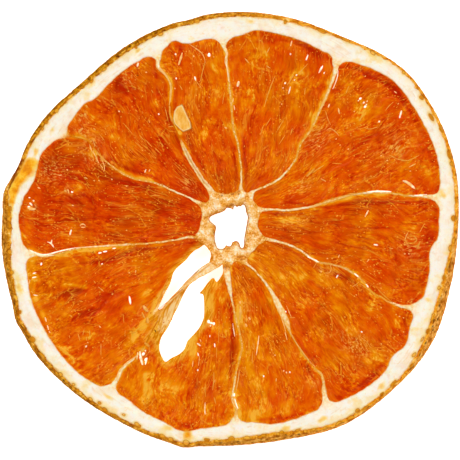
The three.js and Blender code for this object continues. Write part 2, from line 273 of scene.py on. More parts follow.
# %% Widths of the membranes
# Half the visible width of each membrane, at a few radii
HALF_WIDTHS = {
    "e": [(5, 0.4), (6, 0.24), (9, 0.18), (13, 0.18), (18, 0.16), (22, 0.2), (26, 0.14), (29, 0.2),
          (31, 0.4)],
    "d": [(6, 0.34), (7, 0.2), (10, 0.17), (13, 0.14), (19, 0.14), (22, 0.24), (27, 0.26), (29, 0.5)],
    "c": [(5.2, 0.5), (6.5, 0.22), (8, 0.15), (12, 0.13), (18, 0.12), (24, 0.16), (26, 0.22), (28, 0.45)],
    "b": [(6, 0.5), (7, 0.4), (9, 0.36), (13, 0.36), (15, 0.25), (17, 0.14), (23, 0.14), (25, 0.2),
          (27, 0.35)],
    "a": [(5.5, 0.42), (7, 0.2), (10, 0.15), (14, 0.12), (18, 0.12), (22, 0.12), (26, 0.12), (27.5, 0.2),
          (28.5, 0.4)],
    "j": [(4.5, 0.5), (5.5, 0.26), (7, 0.17), (9, 0.14), (14, 0.12), (22, 0.12), (27, 0.15), (30, 0.45)],
    "i": [(5, 0.8), (7, 0.78), (7.8, 0.66), (8.6, 0.52), (10.2, 0.36), (11.5, 0.26), (13, 0.2), (17, 0.2),
          (20, 0.14), (25, 0.16), (28, 0.35)],
    "h": [(5, 0.62), (6, 0.56), (7.3, 0.48), (8.5, 0.36), (10, 0.26), (11.5, 0.16), (13, 0.13), (20, 0.12),
          (24, 0.17), (26, 0.16), (28, 0.3)],
    "g": [(5, 0.3), (6.5, 0.17), (9, 0.15), (11.5, 0.3), (13, 0.48), (15, 0.46), (16.5, 0.36), (18, 0.13),
          (23, 0.12), (26, 0.2), (28, 0.4)],
    "f": [(4.5, 0.55), (5.5, 0.3), (7, 0.22), (9, 0.18), (12, 0.15), (17, 0.14), (20, 0.2), (22, 0.14),
          (27, 0.14), (30, 0.5)],
}
print("widest half width:", max(half for row in HALF_WIDTHS.values() for _, half in row), "mm")

# %% [markdown]
# Where juice has soaked into a membrane it is no longer cream but clear amber, and where most of
# it has dried the membrane has melted into the pulp beside it.

# %% Clear stretches of the membranes
# How far each membrane has turned from cream (0) to clear amber (1), and has then melted into
# the pulp beside it (2), at a few radii
AMBER_SHARES = {
    "e": [(5, 0.0), (11, 0.05), (14, 0.8), (19, 0.7), (21, 0.4), (23, 0.5), (25, 1.1), (27, 0.7),
          (28, 0.3), (30, 0.0)],
    "d": [(6, 0.0), (10, 0.1), (14, 0.7), (19, 0.8), (22, 0.7), (25, 0.6), (28, 0.1)],
    "c": [(5, 0.0), (8, 0.1), (10, 0.6), (14, 0.5), (20, 0.6), (25, 0.3), (27, 0.0)],
    "b": [(6, 0.1), (10, 0.3), (14, 0.4), (15.2, 1.7), (17.5, 1.9), (19, 1.1), (22, 1.0), (25, 0.6),
          (27, 0.1)],
    "a": [(6, 0.0), (10, 0.0), (13, 0.35), (18, 0.7), (21, 0.9), (22.5, 1.3), (24, 2.0), (27, 2.0),
          (28, 1.2), (28.6, 0.2)],
    "j": [(5, 0.0), (11, 0.0), (14, 0.6), (17, 0.6), (22, 0.5), (26, 0.35), (28, 0.0)],
    "i": [(5, 0.05), (8, 0.2), (11, 0.5), (14, 0.8), (17, 1.2), (18.5, 2), (21.5, 2), (23, 0.4), (26, 0.0)],
    "h": [(5, 0.1), (8, 0.2), (12, 0.7), (18, 0.7), (22, 0.4), (24, 0.0), (26, 0.6), (27, 1.2),
          (28.5, 0.3)],
    "g": [(5, 0.0), (9, 0.1), (12, 0.15), (15, 0.6), (19, 0.9), (23, 1.4), (25, 1.2), (27, 0.7),
          (28.5, 0.1)],
    "f": [(5, 0.0), (10, 0.1), (13, 0.1), (14, 0.5), (18, 0.55), (20, 1.1), (23, 1.7), (25, 0.9),
          (26.5, 0.1)],
}
print("clearest stretch:", max(share for row in AMBER_SHARES.values() for _, share in row))

# %% [markdown]
# The cell between two membranes is closed at the peel by a wall, given as radii at some angles,
# and starts at the core at its own radius.

# %% Cell walls
ORDER = "edcbajihgf"  # anticlockwise: segment n lies between membranes n and n + 1
CORES = [5.4, 6.0, 5.2, 5.3, 4.5, 4.4, 5.4, 4.9, 4.8, 4.2]
WALL = [
    (13, 32.1), (20, 32.6), (31, 32.7), (42.5, 32.7), (50, 31.6), (54, 30.8),
    (61, 29.8), (68, 29.9), (76, 29.8), (83, 29.7), (88, 28.7),
    (95, 28.4), (99, 28.3), (103, 28.2), (107, 29.1), (110, 28.6),
    (116, 28.4), (123, 28.3), (131, 28.0), (135.7, 27.8), (140, 28.5), (147, 28.5),
    (153, 29.3), (158, 30.1), (166, 30.0), (172, 31.0), (178, 31.4), (183, 31.0),
    (191, 30.8), (199, 31.3), (208, 31.3), (219, 31.2), (227, 30.8),
    (237, 29.5), (244, 30.0), (251, 30.3), (257, 30.8), (263, 29.8),
    (275, 28.8), (282, 29.6), (290, 29.8), (296, 29.8),
    (303, 30.4), (310, 31.0), (318, 31.2), (322, 30.6), (327, 31.2), (333, 30.3),
    (341, 30.4), (348, 30.2), (353, 29.8), (358, 30.9), (364, 31.1),
]
CORNER = 1.7  # radius of a cell's corners at the peel
CORE_CORNER = 1.15  # and at the core
PEEL = 40.0  # a radius beyond every membrane's end

wall_radius = curve_through(sorted((angle % 360, radius) for angle, radius in WALL), 360)


def membrane_curve(letter):
    radius, angle = polar(np.array(MEMBRANES[letter], float))
    angle = np.degrees(np.unwrap(np.radians(angle)))
    return curve_through(list(zip(radius, angle)))


membrane_angle = {letter: membrane_curve(letter) for letter in ORDER}
membrane_half = {letter: curve_through(HALF_WIDTHS[letter]) for letter in ORDER}
membrane_amber = {letter: curve_through(AMBER_SHARES[letter]) for letter in ORDER}
membrane_foot = {letter: float(membrane_angle[letter](PEEL)) for letter in ORDER}
print("the membranes meet the peel at", {k: round(v, 1) for k, v in membrane_foot.items()})

# %% [markdown]
# A place in a cell is given by two numbers: `u` runs from its first membrane to its second, and
# `v` from the core to the peel. `cell_edges` works out where the cell begins and ends on a line
# of one u, with round corners. `cell_place` turns u and v into a point, and `cell_numbers` turns
# points back into u and v, which tells whether they lie inside the cell.

# %% Cells
def corner_inset(distance, radius):
    short = np.clip(radius - distance, 0, radius)
    return radius - np.sqrt(radius**2 - short**2)


def sides_of(index):
    first, second = ORDER[index], ORDER[(index + 1) % len(ORDER)]
    turn = 360 if membrane_foot[second] < membrane_foot[first] else 0
    return first, second, turn


def cell_edges(index, u, inset):
    first, second, turn = sides_of(index)
    sweep = membrane_foot[second] + turn - membrane_foot[first]
    wall = wall_radius(membrane_foot[first] + u * sweep)
    width = np.radians(sweep) * wall
    core_width = width * CORES[index] / wall
    corners = corner_inset(u * width, CORNER) + corner_inset((1 - u) * width, CORNER)
    core_corners = (corner_inset(u * core_width, CORE_CORNER)
                    + corner_inset((1 - u) * core_width, CORE_CORNER))
    return CORES[index] + inset + core_corners, wall - inset - corners


def cell_sides(index, radius, inset):
    first, second, turn = sides_of(index)
    first_half, second_half = (membrane_half[side](radius) + inset for side in (first, second))
    begin = membrane_angle[first](radius) + np.degrees(first_half / radius)
    end = membrane_angle[second](radius) + turn - np.degrees(second_half / radius)
    return begin, end


begin, end = cell_sides(0, 20.0, 0.0)
print("cell 1 spans", round(float(end - begin), 1), "degrees at 20 mm")

# %% Points of a cell
def cell_place(index, u, v, inset=0.0):
    inner, outer = cell_edges(index, u, inset)
    radius = inner + (outer - inner) * v
    begin, end = cell_sides(index, radius, inset)
    return from_polar(radius, begin + (end - begin) * u)


def cell_numbers(index, points, inset=0.0):
    radius, angle = polar(points)
    begin, end = cell_sides(index, radius, inset)
    middle = (begin + end) / 2
    angle = middle + np.mod(angle - middle + 180, 360) - 180
    u = (angle - begin) / (end - begin)
    inner, outer = cell_edges(index, np.clip(u, 0, 1), inset)
    return u, (radius - inner) / (outer - inner)


print("the middle of cell 1 is at", cell_place(0, 0.5, 0.5).round(1))

# %% Outline of a cell
def evenly(path, spacing, closed=True):
    path = np.asarray(path, float)
    if closed:
        path = np.vstack([path, path[:1]])
    lengths = np.r_[0, np.cumsum(np.hypot(*np.diff(path, axis=0).T))]
    count = max(3, int(round(lengths[-1] / spacing)))
    at = np.linspace(0, lengths[-1], count, endpoint=not closed)
    return np.stack([np.interp(at, lengths, path[:, 0]), np.interp(at, lengths, path[:, 1])], -1)


def cell_outline(index, inset, spacing):
    t = np.linspace(0, 1, 200)
    zero, one = np.zeros(200), np.ones(200)
    legs = [(zero, t), (t, one), (one, 1 - t), (1 - t, zero)]
    return evenly(np.vstack([cell_place(index, u, v, inset)[:-1] for u, v in legs]), spacing)


print("cell 1 is", round(float(np.ptp(cell_outline(0, 0.0, 0.3)[:, 0])), 1), "mm long")

# %% [markdown]
# Three outlines are torn or rough, so they are given point by point: the hollow core, and the
# two tears beside the bare membrane, where dried pulp has come away.

# %% Core hole and tears
CORE_HOLE = [
    (2.7, 1.9), (2.5, 0.8), (2.3, -0.3), (2.1, -1.5), (2.1, -2.5), (1.9, -2.9), (1.6, -2.8),
    (1.4, -2.1), (1.2, -1.85), (0.9, -1.75), (0.6, -1.85), (0.3, -1.95), (0.2, -2.5),
    (-0.3, -2.6), (-0.6, -2.3), (-0.8, -2.8), (-1.2, -3), (-1.8, -2.95), (-2.1, -2.3),
    (-2.3, -1.3), (-2.2, -0.5), (-2, 0.4), (-2.5, 0.8), (-3.1, 1.3), (-3, 1.8), (-2.2, 2.2),
    (-1.2, 2.5), (-0.7, 2.8), (-0.5, 3.2), (0, 3.1), (0.35, 3.0), (0.45, 2.75), (0.6, 3.4),
    (0.85, 3.5), (1, 3.15), (1.3, 3.5), (1.6, 3.3), (1.9, 3.7), (2.3, 3.4), (2.4, 2.4),
]
UPPER_TEAR = [
    (-3.2, -1.9), (-3.4, -2.5), (-3.1, -3), (-2.8, -3.8), (-2.9, -4.2), (-3.2, -5.4),
    (-4.5, -6.6), (-6, -7.8), (-7.5, -9.3), (-9, -10.8), (-10.2, -11.9), (-10.85, -12.1),
    (-10.3, -10.9), (-9.9, -10), (-9.5, -9.2), (-9, -8.4), (-8.7, -7.5), (-8.5, -6.6),
    (-8, -5.9), (-7.2, -5.2), (-6.5, -4.6), (-6, -3.9), (-5.3, -3.2), (-4.6, -2.9), (-4, -2.45),
]
LOWER_TEAR = [
    (-1, -5.2), (-1, -6.4), (-1.3, -7), (-1.7, -7.6), (-2, -8), (-2.3, -7.4), (-2.5, -7.2),
    (-3, -7.6), (-3.7, -8.5), (-4.2, -9.2), (-4.7, -9.6), (-4, -9.7), (-3.9, -10.2),
    (-3.85, -11.5), (-3.85, -13), (-4.1, -13.8), (-4.5, -14.6), (-5.2, -15.5), (-5.8, -16.1),
    (-6.4, -16.7), (-6.6, -17.5), (-7, -18.2), (-7.8, -18.8), (-8.8, -19.2), (-9.6, -19.95),
    (-10.1, -19.2), (-10.5, -18.2), (-10.55, -17.3), (-10.3, -16.3), (-9.9, -15.6),
    (-9.3, -14.8), (-8.7, -13.6), (-8.3, -12.6), (-7.8, -11.8), (-7, -9.9), (-6, -8.2),
    (-4.5, -6.9), (-3.2, -5.9), (-2, -4.8),
]
TEARS = {5: UPPER_TEAR, 6: LOWER_TEAR}  # by segment
print("points of the hole and the tears:", len(CORE_HOLE), len(UPPER_TEAR), len(LOWER_TEAR))

# %% Rounded outlines


def rounded(corners, softness=2):
    path = np.array(corners, float)
    for _ in range(softness):
        after = np.roll(path, -1, axis=0)
        path = np.stack([0.75 * path + 0.25 * after, 0.25 * path + 0.75 * after], 1).reshape(-1, 2)
    return path


core_hole = rounded(CORE_HOLE, 1)
tears = {index: rounded(corners, 2) for index, corners in TEARS.items()}
print("corners of the core's outline:", len(core_hole))

# %% Inside and nearest
def is_within(points, outline):
    x, y = points.T
    inside = np.zeros(len(points), bool)
    for (x0, y0), (x1, y1) in zip(outline, np.roll(outline, -1, axis=0)):
        crosses = (y0 > y) != (y1 > y)
        inside ^= crosses & (x < x0 + (x1 - x0) * (y - y0) / (y1 - y0 + 1e-12))
    return inside


def nearest(places, points):
    """The number of the place nearest to each point, and its distance."""
    tree = KDTree(len(places))
    for number, (x, y) in enumerate(places):
        tree.insert((x, y, 0), number)
    tree.balance()
    _, numbers, distances = zip(*(tree.find((x, y, 0)) for x, y in points))
    return np.array(numbers), np.array(distances)


core_middle = np.zeros((1, 2))
print("the middle of the core lies in the hole:", is_within(core_middle, core_hole)[0])
print("and this far from its edge:", nearest(core_hole, core_middle)[1].round(2), "mm")

# %% [markdown]
# ## From plan to mesh
#
# A piece such as the pith is a flat plan with holes, and both its faces have fine relief. It
# could be sculpted or remeshed from blocks, but then its thin membranes would melt away. Here
# its plan is filled with a net of even triangles that keeps every edge line, and the net is
# lifted into an upper and a lower skin, joined by a wall along each edge.
#
# `fill_net` strews points evenly inside the edges and joins them all with Delaunay triangles,
# which are as little pointed as the points allow. `open_edges` finds the sides that only one
# triangle has, and these are where the wall is built.

# %% Nets of triangles
def fill_net(loops, inside, spacing, seed):
    edge = np.vstack(loops)
    links, start = [], 0
    for loop in loops:
        count = len(loop)
        links += [(start + i, start + (i + 1) % count) for i in range(count)]
        start += count
    low, high = edge.min(0), edge.max(0)
    x, y = np.meshgrid(np.arange(low[0], high[0], spacing),
                       np.arange(low[1], high[1], spacing * math.sqrt(0.75)))
    x[1::2] += spacing / 2
    points = np.stack([x.ravel(), y.ravel()], -1)
    points += np.random.default_rng(seed).uniform(-0.15, 0.15, points.shape) * spacing
    points = points[inside(points)]
    points = points[nearest(edge, points)[1] > 0.62 * spacing]
    net = delaunay_2d_cdt([Vector(p) for p in np.vstack([edge, points])], links, [], 0, 1e-7, False)
    places, triangles = np.array([tuple(p) for p in net[0]]), np.array(net[2])
    triangles = triangles[inside(places[triangles].mean(1))]
    used = np.unique(triangles)
    renumber = np.full(len(places), -1)
    renumber[used] = np.arange(len(used))
    return places[used], renumber[triangles]


square = np.array([[0, 0], [1, 0], [1, 1], [0, 1]], float)
square_net = fill_net([square], lambda points: np.abs(points - 0.5).max(1) < 0.5, 0.3, 0)[1]
print("a net of one square:", len(square_net), "triangles")

# %% Two skins
def open_edges(triangles):
    pairs = np.vstack([triangles[:, [0, 1]], triangles[:, [1, 2]], triangles[:, [2, 0]]])
    size = triangles.max() + 1
    keys, reverse = pairs[:, 0] * size + pairs[:, 1], pairs[:, 1] * size + pairs[:, 0]
    return pairs[~np.isin(keys, reverse)]


def two_skins(plan, triangles, top, bottom, wall_rows):
    """The points and faces of a closed sheet. wall_rows(edge points' indices) gives the rows of
    points between the skins, from the top down."""
    count = len(plan)
    edge = open_edges(triangles)
    on_edge = np.unique(edge)
    rows = wall_rows(on_edge)
    points = np.vstack([top, bottom, *rows])
    place = np.full(count, -1)
    place[on_edge] = np.arange(len(on_edge))
    levels = [np.arange(count)]
    levels += [np.where(place < 0, 0, 2 * count + k * len(on_edge) + place) for k in range(len(rows))]
    levels.append(np.arange(count) + count)
    faces = [triangles, triangles[:, ::-1] + count]
    a, b = edge.T
    for upper, lower in zip(levels[:-1], levels[1:]):
        faces.append(np.stack([upper[b], upper[a], lower[a]], -1))
        faces.append(np.stack([upper[b], lower[a], lower[b]], -1))
    return points, np.vstack(faces)


one_triangle = np.array([[0, 1, 2]])
print("open edges of a single triangle:", len(open_edges(one_triangle)))

# %% [markdown]
# `make_piece` writes a mesh from points in millimetres. Every number that the finish needs at a
# point, such as how deep it lies below the skin, goes along as a named attribute. The last
# lines of it make the piece move with the slice and hide the imported solids that it stands for.

# %% Writing a piece
pieces = {}
shells = {}  # each piece in plan millimetres, for what is laid on it later
RIM_FOLD = 55  # degrees: a fold sharper than this, such as a skin's cut rim, is not shaded as a curve


def make_piece(name, points, faces, attributes, stands_for):
    shifted = (np.asarray(points, float) - np.array([*PLAN_MIDDLE, 0])) * MM
    mesh = bpy.data.meshes.new(name)
    mesh.from_pydata(shifted.tolist(), [], np.asarray(faces).tolist())
    for key, values in attributes.items():
        values = np.asarray(values, np.float32)
        kind = "FLOAT" if values.ndim == 1 else "FLOAT_VECTOR"
        layer = mesh.attributes.new(key, kind, "POINT")
        layer.data.foreach_set("value" if values.ndim == 1 else "vector", values.ravel())
    mesh.shade_smooth()
    mesh.set_sharp_from_angle(angle=math.radians(RIM_FOLD))
    piece = bpy.data.objects.new(name, mesh)
    bpy.context.scene.collection.objects.link(piece)
    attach(piece, "root")
    if stands_for:
        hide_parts(*stands_for)
    pieces[name] = piece
    shells[name] = (np.asarray(points, float), np.asarray(faces))
    print(name, len(faces), "faces")
    return piece

# %% [markdown]
# ## How the slice has sunk
#
# Pith and membranes dry less than pulp, so the peel ring keeps its height while the middle of
# the slice sinks on both faces. `UPPER_SINK` and `LOWER_SINK` give that in millimetres, at
# radii on a slice whose cells end at 30 mm. The membranes stay proud of the pulp beside them.

# %% Levels of the two faces
UPPER_SINK = curve_through([(0, 0.7), (5, 0.72), (15, 1.1), (23, 0.85), (27, 0.45), (30, 0.12), (32, 0.0)])
LOWER_SINK = curve_through([(0, 0.6), (5, 0.62), (15, 0.95), (23, 0.7), (27, 0.4), (30, 0.12), (32, 0.0)])
FACE_MARGIN = 0.14  # room below the full height for the relief
RULED_RADIUS = 30.0


def face_levels(points):
    radius, angle = polar(points)
    ruled = radius * RULED_RADIUS / wall_radius(angle)
    return RING_HEIGHT - FACE_MARGIN - UPPER_SINK(ruled), FACE_MARGIN + LOWER_SINK(ruled)


middle_levels = face_levels(np.array([[15.0, 0.0]]))
print("thickness half way out:", (middle_levels[0] - middle_levels[1]).round(2), "mm")

# %% [markdown]
# ## Oil glands
#
# The rind holds hundreds of round oil glands just under its skin. The knife has opened those at
# the cut face, and they have dried to amber beads along the inner side of the rind. The most
# visible ones are listed one by one and the rest are strewn along the ring. Each point of the pith
# and the rind gets its distance to the rim of the nearest gland, so that the finish can draw a
# crisp edge there.

# %% Clear glands
# The most visible glands: x, y, half length along the rind, half width
CLEAR_GLANDS = [
    (-32, -10.3, 0.62, 0.45), (-30.9, -14.6, 0.45, 0.36), (-29.3, -16.4, 0.5, 0.4),
    (-28, -18.9, 0.62, 0.4), (-27.2, -20, 0.35, 0.3), (-18.6, -26.8, 0.5, 0.3), (0.2, -31.2, 0.5, 0.5),
    (2.5, -31.1, 0.5, 0.4), (18, -28.1, 0.5, 0.45), (-16, 26.5, 0.7, 0.4), (-13.2, 28.4, 0.8, 0.4),
    (17.2, 28.2, 0.7, 0.35), (32.6, -5.4, 0.9, 0.4), (31.3, -10.6, 0.4, 0.32), (32.6, 11, 0.8, 0.35),
    (33.2, 1.6, 0.5, 0.42), (-8.8, -31.2, 0.45, 0.3), (-6.5, -31.7, 0.55, 0.4), (29.9, 16.6, 0.7, 0.3),
    (-23.7, 19.8, 0.7, 0.3), (13.6, 29.4, 0.8, 0.3), (6.9, 31.4, 0.5, 0.25), (-17.8, 25.0, 0.5, 0.3),
    (27.0, -20.4, 0.45, 0.35), (22.5, -25.8, 0.5, 0.35), (-15.8, -27.6, 0.3, 0.2),
]
print("clear glands:", len(CLEAR_GLANDS))

# %% Strewn glands
STREWN_GLANDS = 130
GLAND_DEPTHS = (0.4, 0.95)  # mm below the skin
GLAND_GAP = 1.2  # a strewn gland stays this far from the clear ones
STAINED = (162, 9)  # middle and half width in degrees of a stretch where juice hides the glands
SPARSE = (50, 48)  # and of the stretch at the right, where only a third of them show

gland_random = np.random.default_rng(21)
strewn = np.arange(STREWN_GLANDS)
strewn_angles = (strewn + gland_random.uniform(-0.45, 0.45, STREWN_GLANDS)) * 360 / STREWN_GLANDS
strewn_depths = gland_random.uniform(*GLAND_DEPTHS, STREWN_GLANDS)
strewn_radii = outline_radius(strewn_angles) - rim_lean(strewn_angles) - strewn_depths
strewn_places = from_polar(strewn_radii, strewn_angles)
clear_places = np.array([gland[:2] for gland in CLEAR_GLANDS])
hidden = np.array([np.hypot(*(clear_places - place).T).min() < GLAND_GAP for place in strewn_places])
hidden |= np.abs(strewn_angles - STAINED[0]) < STAINED[1]
hidden |= (np.abs(strewn_angles - SPARSE[0]) < SPARSE[1]) & (strewn % 3 > 0)
gland_places = np.vstack([clear_places, strewn_places[~hidden]])
strewn_halves = np.stack([gland_random.uniform(0.25, 0.55, STREWN_GLANDS),
                          gland_random.uniform(0.18, 0.36, STREWN_GLANDS)], -1)
gland_halves = np.vstack([[gland[2:] for gland in CLEAR_GLANDS], strewn_halves[~hidden]])
gland_tones = gland_random.random(len(gland_places))
print("glands:", len(gland_places))

# %% Rims of the glands
def along_and_across(away, outwards):
    """The part of each distance that runs from the core to the peel, and the part across that."""
    return (away * outwards).sum(1), away[:, 1] * outwards[:, 0] - away[:, 0] * outwards[:, 1]


def gland_rims(points):
    """How far each point lies inside the rim of its nearest gland, and that gland's tone."""
    number, _ = nearest(gland_places, points)
    middle = gland_places[number]
    deep, sideways = along_and_across(points - middle, middle / np.hypot(*middle.T)[:, None])
    half_length, half_width = gland_halves[number].T
    inside = (1 - np.hypot(sideways / half_length, deep / half_width)) * half_width
    return np.maximum(inside, -1.0), gland_tones[number]


print("the middle of the first gland lies", gland_rims(clear_places[:1])[0].round(2), "mm inside its rim")

# %% [markdown]
# ## The pith: peel ring, membranes and core in one
#
# The white tissue is one piece on the real fruit, so it is one net here: everything inside the
# rind that is not a cell or the hollow core. Each membrane gets a rounded crest that wavers, and
# the core is rough and spongy, because it tore as it shrank.
#
# Its outer edge runs under the rind. The rind is not equally wide all round, because the knife
# met it at a slant, so its width is a curve too.

# %% Edges of the pith
PITH_SPACING = 0.17  # side of the net's triangles in mm
RING_RADIUS = 33  # about the middle radius of the peel ring
RIND_WIDTHS = [  # angle, width in mm of the rind where the knife cut it
    (0, 0.55), (20, 0.52), (40, 0.34), (60, 0.42), (75, 0.6), (100, 0.6), (120, 0.72), (140, 0.6),
    (150, 0.62), (162, 0.58), (170, 0.55), (180, 0.85), (200, 0.6), (220, 0.52), (245, 0.5), (275, 0.62),
    (300, 0.6), (320, 0.45), (335, 0.6),
]
rind_width = curve_through(RIND_WIDTHS, 360)
cell_loops = [cell_outline(index, 0.0, PITH_SPACING) for index in range(len(ORDER))]
hole_loop = evenly(core_hole, PITH_SPACING)
rim_angles = np.arange(0, 360, np.degrees(PITH_SPACING / RING_RADIUS))


def pith_radius_at(angle):
    """Where the pith ends and the rind begins."""
    return outline_radius(angle) - rim_lean(angle) - rind_width(angle)


rim_loop = from_polar(pith_radius_at(rim_angles), rim_angles)
print("pith edges:", len(rim_loop), "points outside,", len(hole_loop), "round the core hole")

# %% [markdown]
# Juice has soaked into the pith in places and dried there to amber, and the core shows clear
# amber and brown spots where it tore. They could be painted by hand on an image, but soft ovals
# that are listed here work on any net and stay sharp when the view comes close.

# %% Stains
# Where juice has soaked into the pith: x, y, half length outwards, half width, strength
STAINS = [
    (-29.4, 9.9, 1.2, 0.6, 0.8), (-30.3, 8.8, 1.2, 0.9, 0.9), (-31.2, 7.6, 0.9, 1.0, 0.9),
    (-32.0, 6.1, 0.7, 1.1, 0.9), (-32.5, 4.6, 0.55, 1.2, 0.8), (-32.8, 2.6, 0.45, 1.6, 0.6),
    (-33.0, -1.0, 0.5, 3.0, 0.35), (-28.8, 11.4, 0.4, 0.7, 0.4), (-8.2, 30.2, 0.5, 1.4, 0.4),
    (-3.2, 31.4, 0.4, 1.6, 0.4), (3.0, 30.8, 0.5, 1.0, 0.3), (-6.4, -30.6, 0.9, 0.7, 0.7),
    (-9.0, -29.6, 0.5, 0.8, 0.3), (13.6, -28.3, 0.4, 0.9, 0.4), (-18.4, -24.7, 0.4, 1.6, 0.35),
    (32.2, -3.6, 0.8, 0.6, 0.35), (29.6, -10.5, 1.0, 0.5, 0.3), (22.4, -23.4, 0.4, 0.8, 0.3),
    (-13.6, 26.6, 0.4, 0.5, 0.35), (-20.2, 21.8, 0.5, 1.4, 0.25), (-26.4, 14.7, 0.5, 0.8, 0.3),
    (8.5, -29.6, 0.4, 1.0, 0.25), (20.6, 26.2, 0.4, 0.8, 0.25), (-27.4, -14.2, 0.5, 0.9, 0.2),
    (31.8, 5.0, 0.7, 0.6, 0.2), (-31.4, -8.6, 0.6, 1.2, 0.3),
]
print("stains:", len(STAINS))

# %% Spots of the core and scars
# Clear amber places of the core, in the form of the stains
CORE_AMBER = [
    (2.9, 4.0, 0.5, 0.4, 1.0), (3.2, 3.0, 0.4, 0.4, 0.9), (-1.9, 3.9, 0.5, 0.5, 0.8),
    (3.3, -3.8, 0.5, 0.6, 1.0), (3.6, 0.4, 0.4, 0.6, 0.5), (-3.2, 0.2, 0.4, 0.8, 0.6),
    (-2.9, -1.6, 0.4, 0.5, 0.6), (1.0, 4.2, 0.3, 0.5, 0.5), (-3.7, 3.1, 0.4, 0.5, 0.5),
    (0.4, -3.4, 0.4, 0.5, 0.5), (2.4, -3.3, 0.3, 0.3, 0.6), (4.0, 1.9, 0.3, 0.4, 0.6),
]
# Brown scars of the rind beside the stains
RIND_SCARS = [
    (-31.0, 9.9, 0.3, 0.7, 0.9), (-31.7, 8.7, 0.25, 0.9, 1.0), (-32.2, 7.5, 0.22, 0.8, 1.0),
    (-32.75, 6.0, 0.18, 1.0, 1.0),
]
# Brown places, most of them on the core and some along the edge of its hole
CORE_BROWN = [
    (-1.2, 4.95, 0.16, 0.3, 1.0), (1.3, 5.25, 0.14, 0.3, 1.0), (-1.75, 4.6, 0.14, 0.16, 0.9),
    (0.3, 3.6, 0.35, 0.5, 0.9), (-2.35, -0.6, 0.14, 0.5, 0.9), (3.1, 1.7, 0.3, 0.7, 0.4),
    (2.6, -1.6, 0.16, 0.8, 0.6), (-0.4, -2.9, 0.16, 0.7, 0.6), (2.2, 4.3, 0.12, 0.2, 0.8),
    (-3.3, 0.9, 0.12, 0.16, 0.7), (4.2, -0.9, 0.14, 0.16, 0.7), (-2.6, 2.6, 0.12, 0.3, 0.7),
    (-30.1, 9.5, 0.15, 0.5, 0.45), (-31.1, 7.7, 0.14, 0.9, 0.35), (-3.5, -1.1, 0.12, 0.12, 0.7),
    (0.7, -3.9, 0.12, 0.4, 0.6), (-1.0, 2.9, 0.14, 0.5, 0.7), (1.9, -3.4, 0.14, 0.14, 0.6),
]
print("clear and brown spots:", len(CORE_AMBER), "and", len(CORE_BROWN))

# %% Soft spots
def blobs(points, spots):
    """The sum of soft oval spots, each laid along the line from the core to the peel."""
    outwards = from_polar(1.0, polar(points)[1])
    total = np.zeros(len(points))
    for x0, y0, half_length, half_width, strength in spots:
        along, across = along_and_across(points - (x0, y0), outwards)
        total += strength * np.exp(-((along / half_length)**2 + (across / half_width)**2))
    return total


print("strongest stain on a point of the ring:", blobs(np.array([[-31.2, 7.6]]), STAINS).round(2))

# %% [markdown]
# The net is everything inside the rind that is neither a cell nor the hole. For each of its
# points the distances to the edges are kept, because both its shape and its colour need them.

# %% Net of the pith
CORE_REACH = 6  # the hollow lies within this radius


def in_pith(points):
    radius, angle = polar(points)
    keep = radius < pith_radius_at(angle) + 1e-3
    for index in range(len(ORDER)):
        u, v = cell_numbers(index, points)
        keep &= ~((u > 0) & (u < 1) & (v > 0) & (v < 1))
    near_core = radius < CORE_REACH
    keep[near_core] &= ~is_within(points[near_core], hole_loop)
    return keep


pith_plan, pith_net = fill_net([rim_loop, hole_loop, *cell_loops], in_pith, PITH_SPACING, 1)
pith_radius, pith_angle = polar(pith_plan)
x, y = pith_plan.T
to_cells = nearest(np.vstack(cell_loops), pith_plan)[1]
to_hole = nearest(hole_loop, pith_plan)[1]
from_rind = outline_radius(pith_angle) - rim_lean(pith_angle) - pith_radius - rind_width(pith_angle)
beyond_wall = pith_radius - wall_radius(pith_angle)
in_ring = soft_step(beyond_wall, -1.2, 0.6)
in_core = 1 - soft_step(pith_radius, 5.2, 7)
print("pith net:", len(pith_net), "triangles")

# %% [markdown]
# The edges of the pith are rounded, wide ones more than narrow ones. Where juice has soaked a
# thin membrane right through, it has melted down and looks like amber glass.

# %% Crests of the membranes
SHOULDER = 0.34  # mm: widest rounding at the pith's edges


def nearest_membrane(radius, angle):
    """Which membrane is nearest to each point, its half width and clearness there, and how far
    from its middle line the point lies."""
    away = np.stack([np.mod(angle - membrane_angle[k](radius) + 180, 360) - 180 for k in ORDER])
    halves = np.stack([membrane_half[k](radius) for k in ORDER])
    ambers = np.stack([membrane_amber[k](radius) for k in ORDER])
    number = np.abs(away).argmin(0)
    turned, half, amber = (
        np.take_along_axis(rows, number[None], 0)[0] for rows in (away, halves, ambers))
    return number, half, amber, np.radians(turned) * radius


crest_number, crest_half, amber_share, from_middle = nearest_membrane(pith_radius, pith_angle)
crest_half = np.clip(crest_half, 0.12, SHOULDER) * (1 - in_ring) + SHOULDER * in_ring
on_membrane = (1 - in_ring) * (1 - in_core)
amber_share = np.clip(amber_share, 0, 2) * on_membrane
amber_share += blobs(pith_plan, CORE_AMBER)
edge_line = 1 - soft_step(to_cells, 0.0, np.minimum(0.2, 0.9 * crest_half))
edge_line *= 1 - soft_step(amber_share, 1, 1.8)
roundness = np.clip(1 - to_cells / crest_half, 0, 1)
# Membrane b has split lengthwise between 7 and 14 mm from the middle
split = (crest_number == ORDER.index("b")) * soft_step(pith_radius, 6, 8)
split = split * (1 - soft_step(pith_radius, 13, 15)) * np.clip(1 - np.abs(from_middle) / 0.22, 0, 1)
print("share of the pith's points that is on a membrane:", on_membrane.mean().round(2))

# %% [markdown]
# The relief adds up the swells of the spongy ring, the lumps of the torn core, the wavering
# crests, the rounded edges and the small pits over the glands. Modelling each with brushes would
# look as good, but could not be repeated for the underside with other seeds.

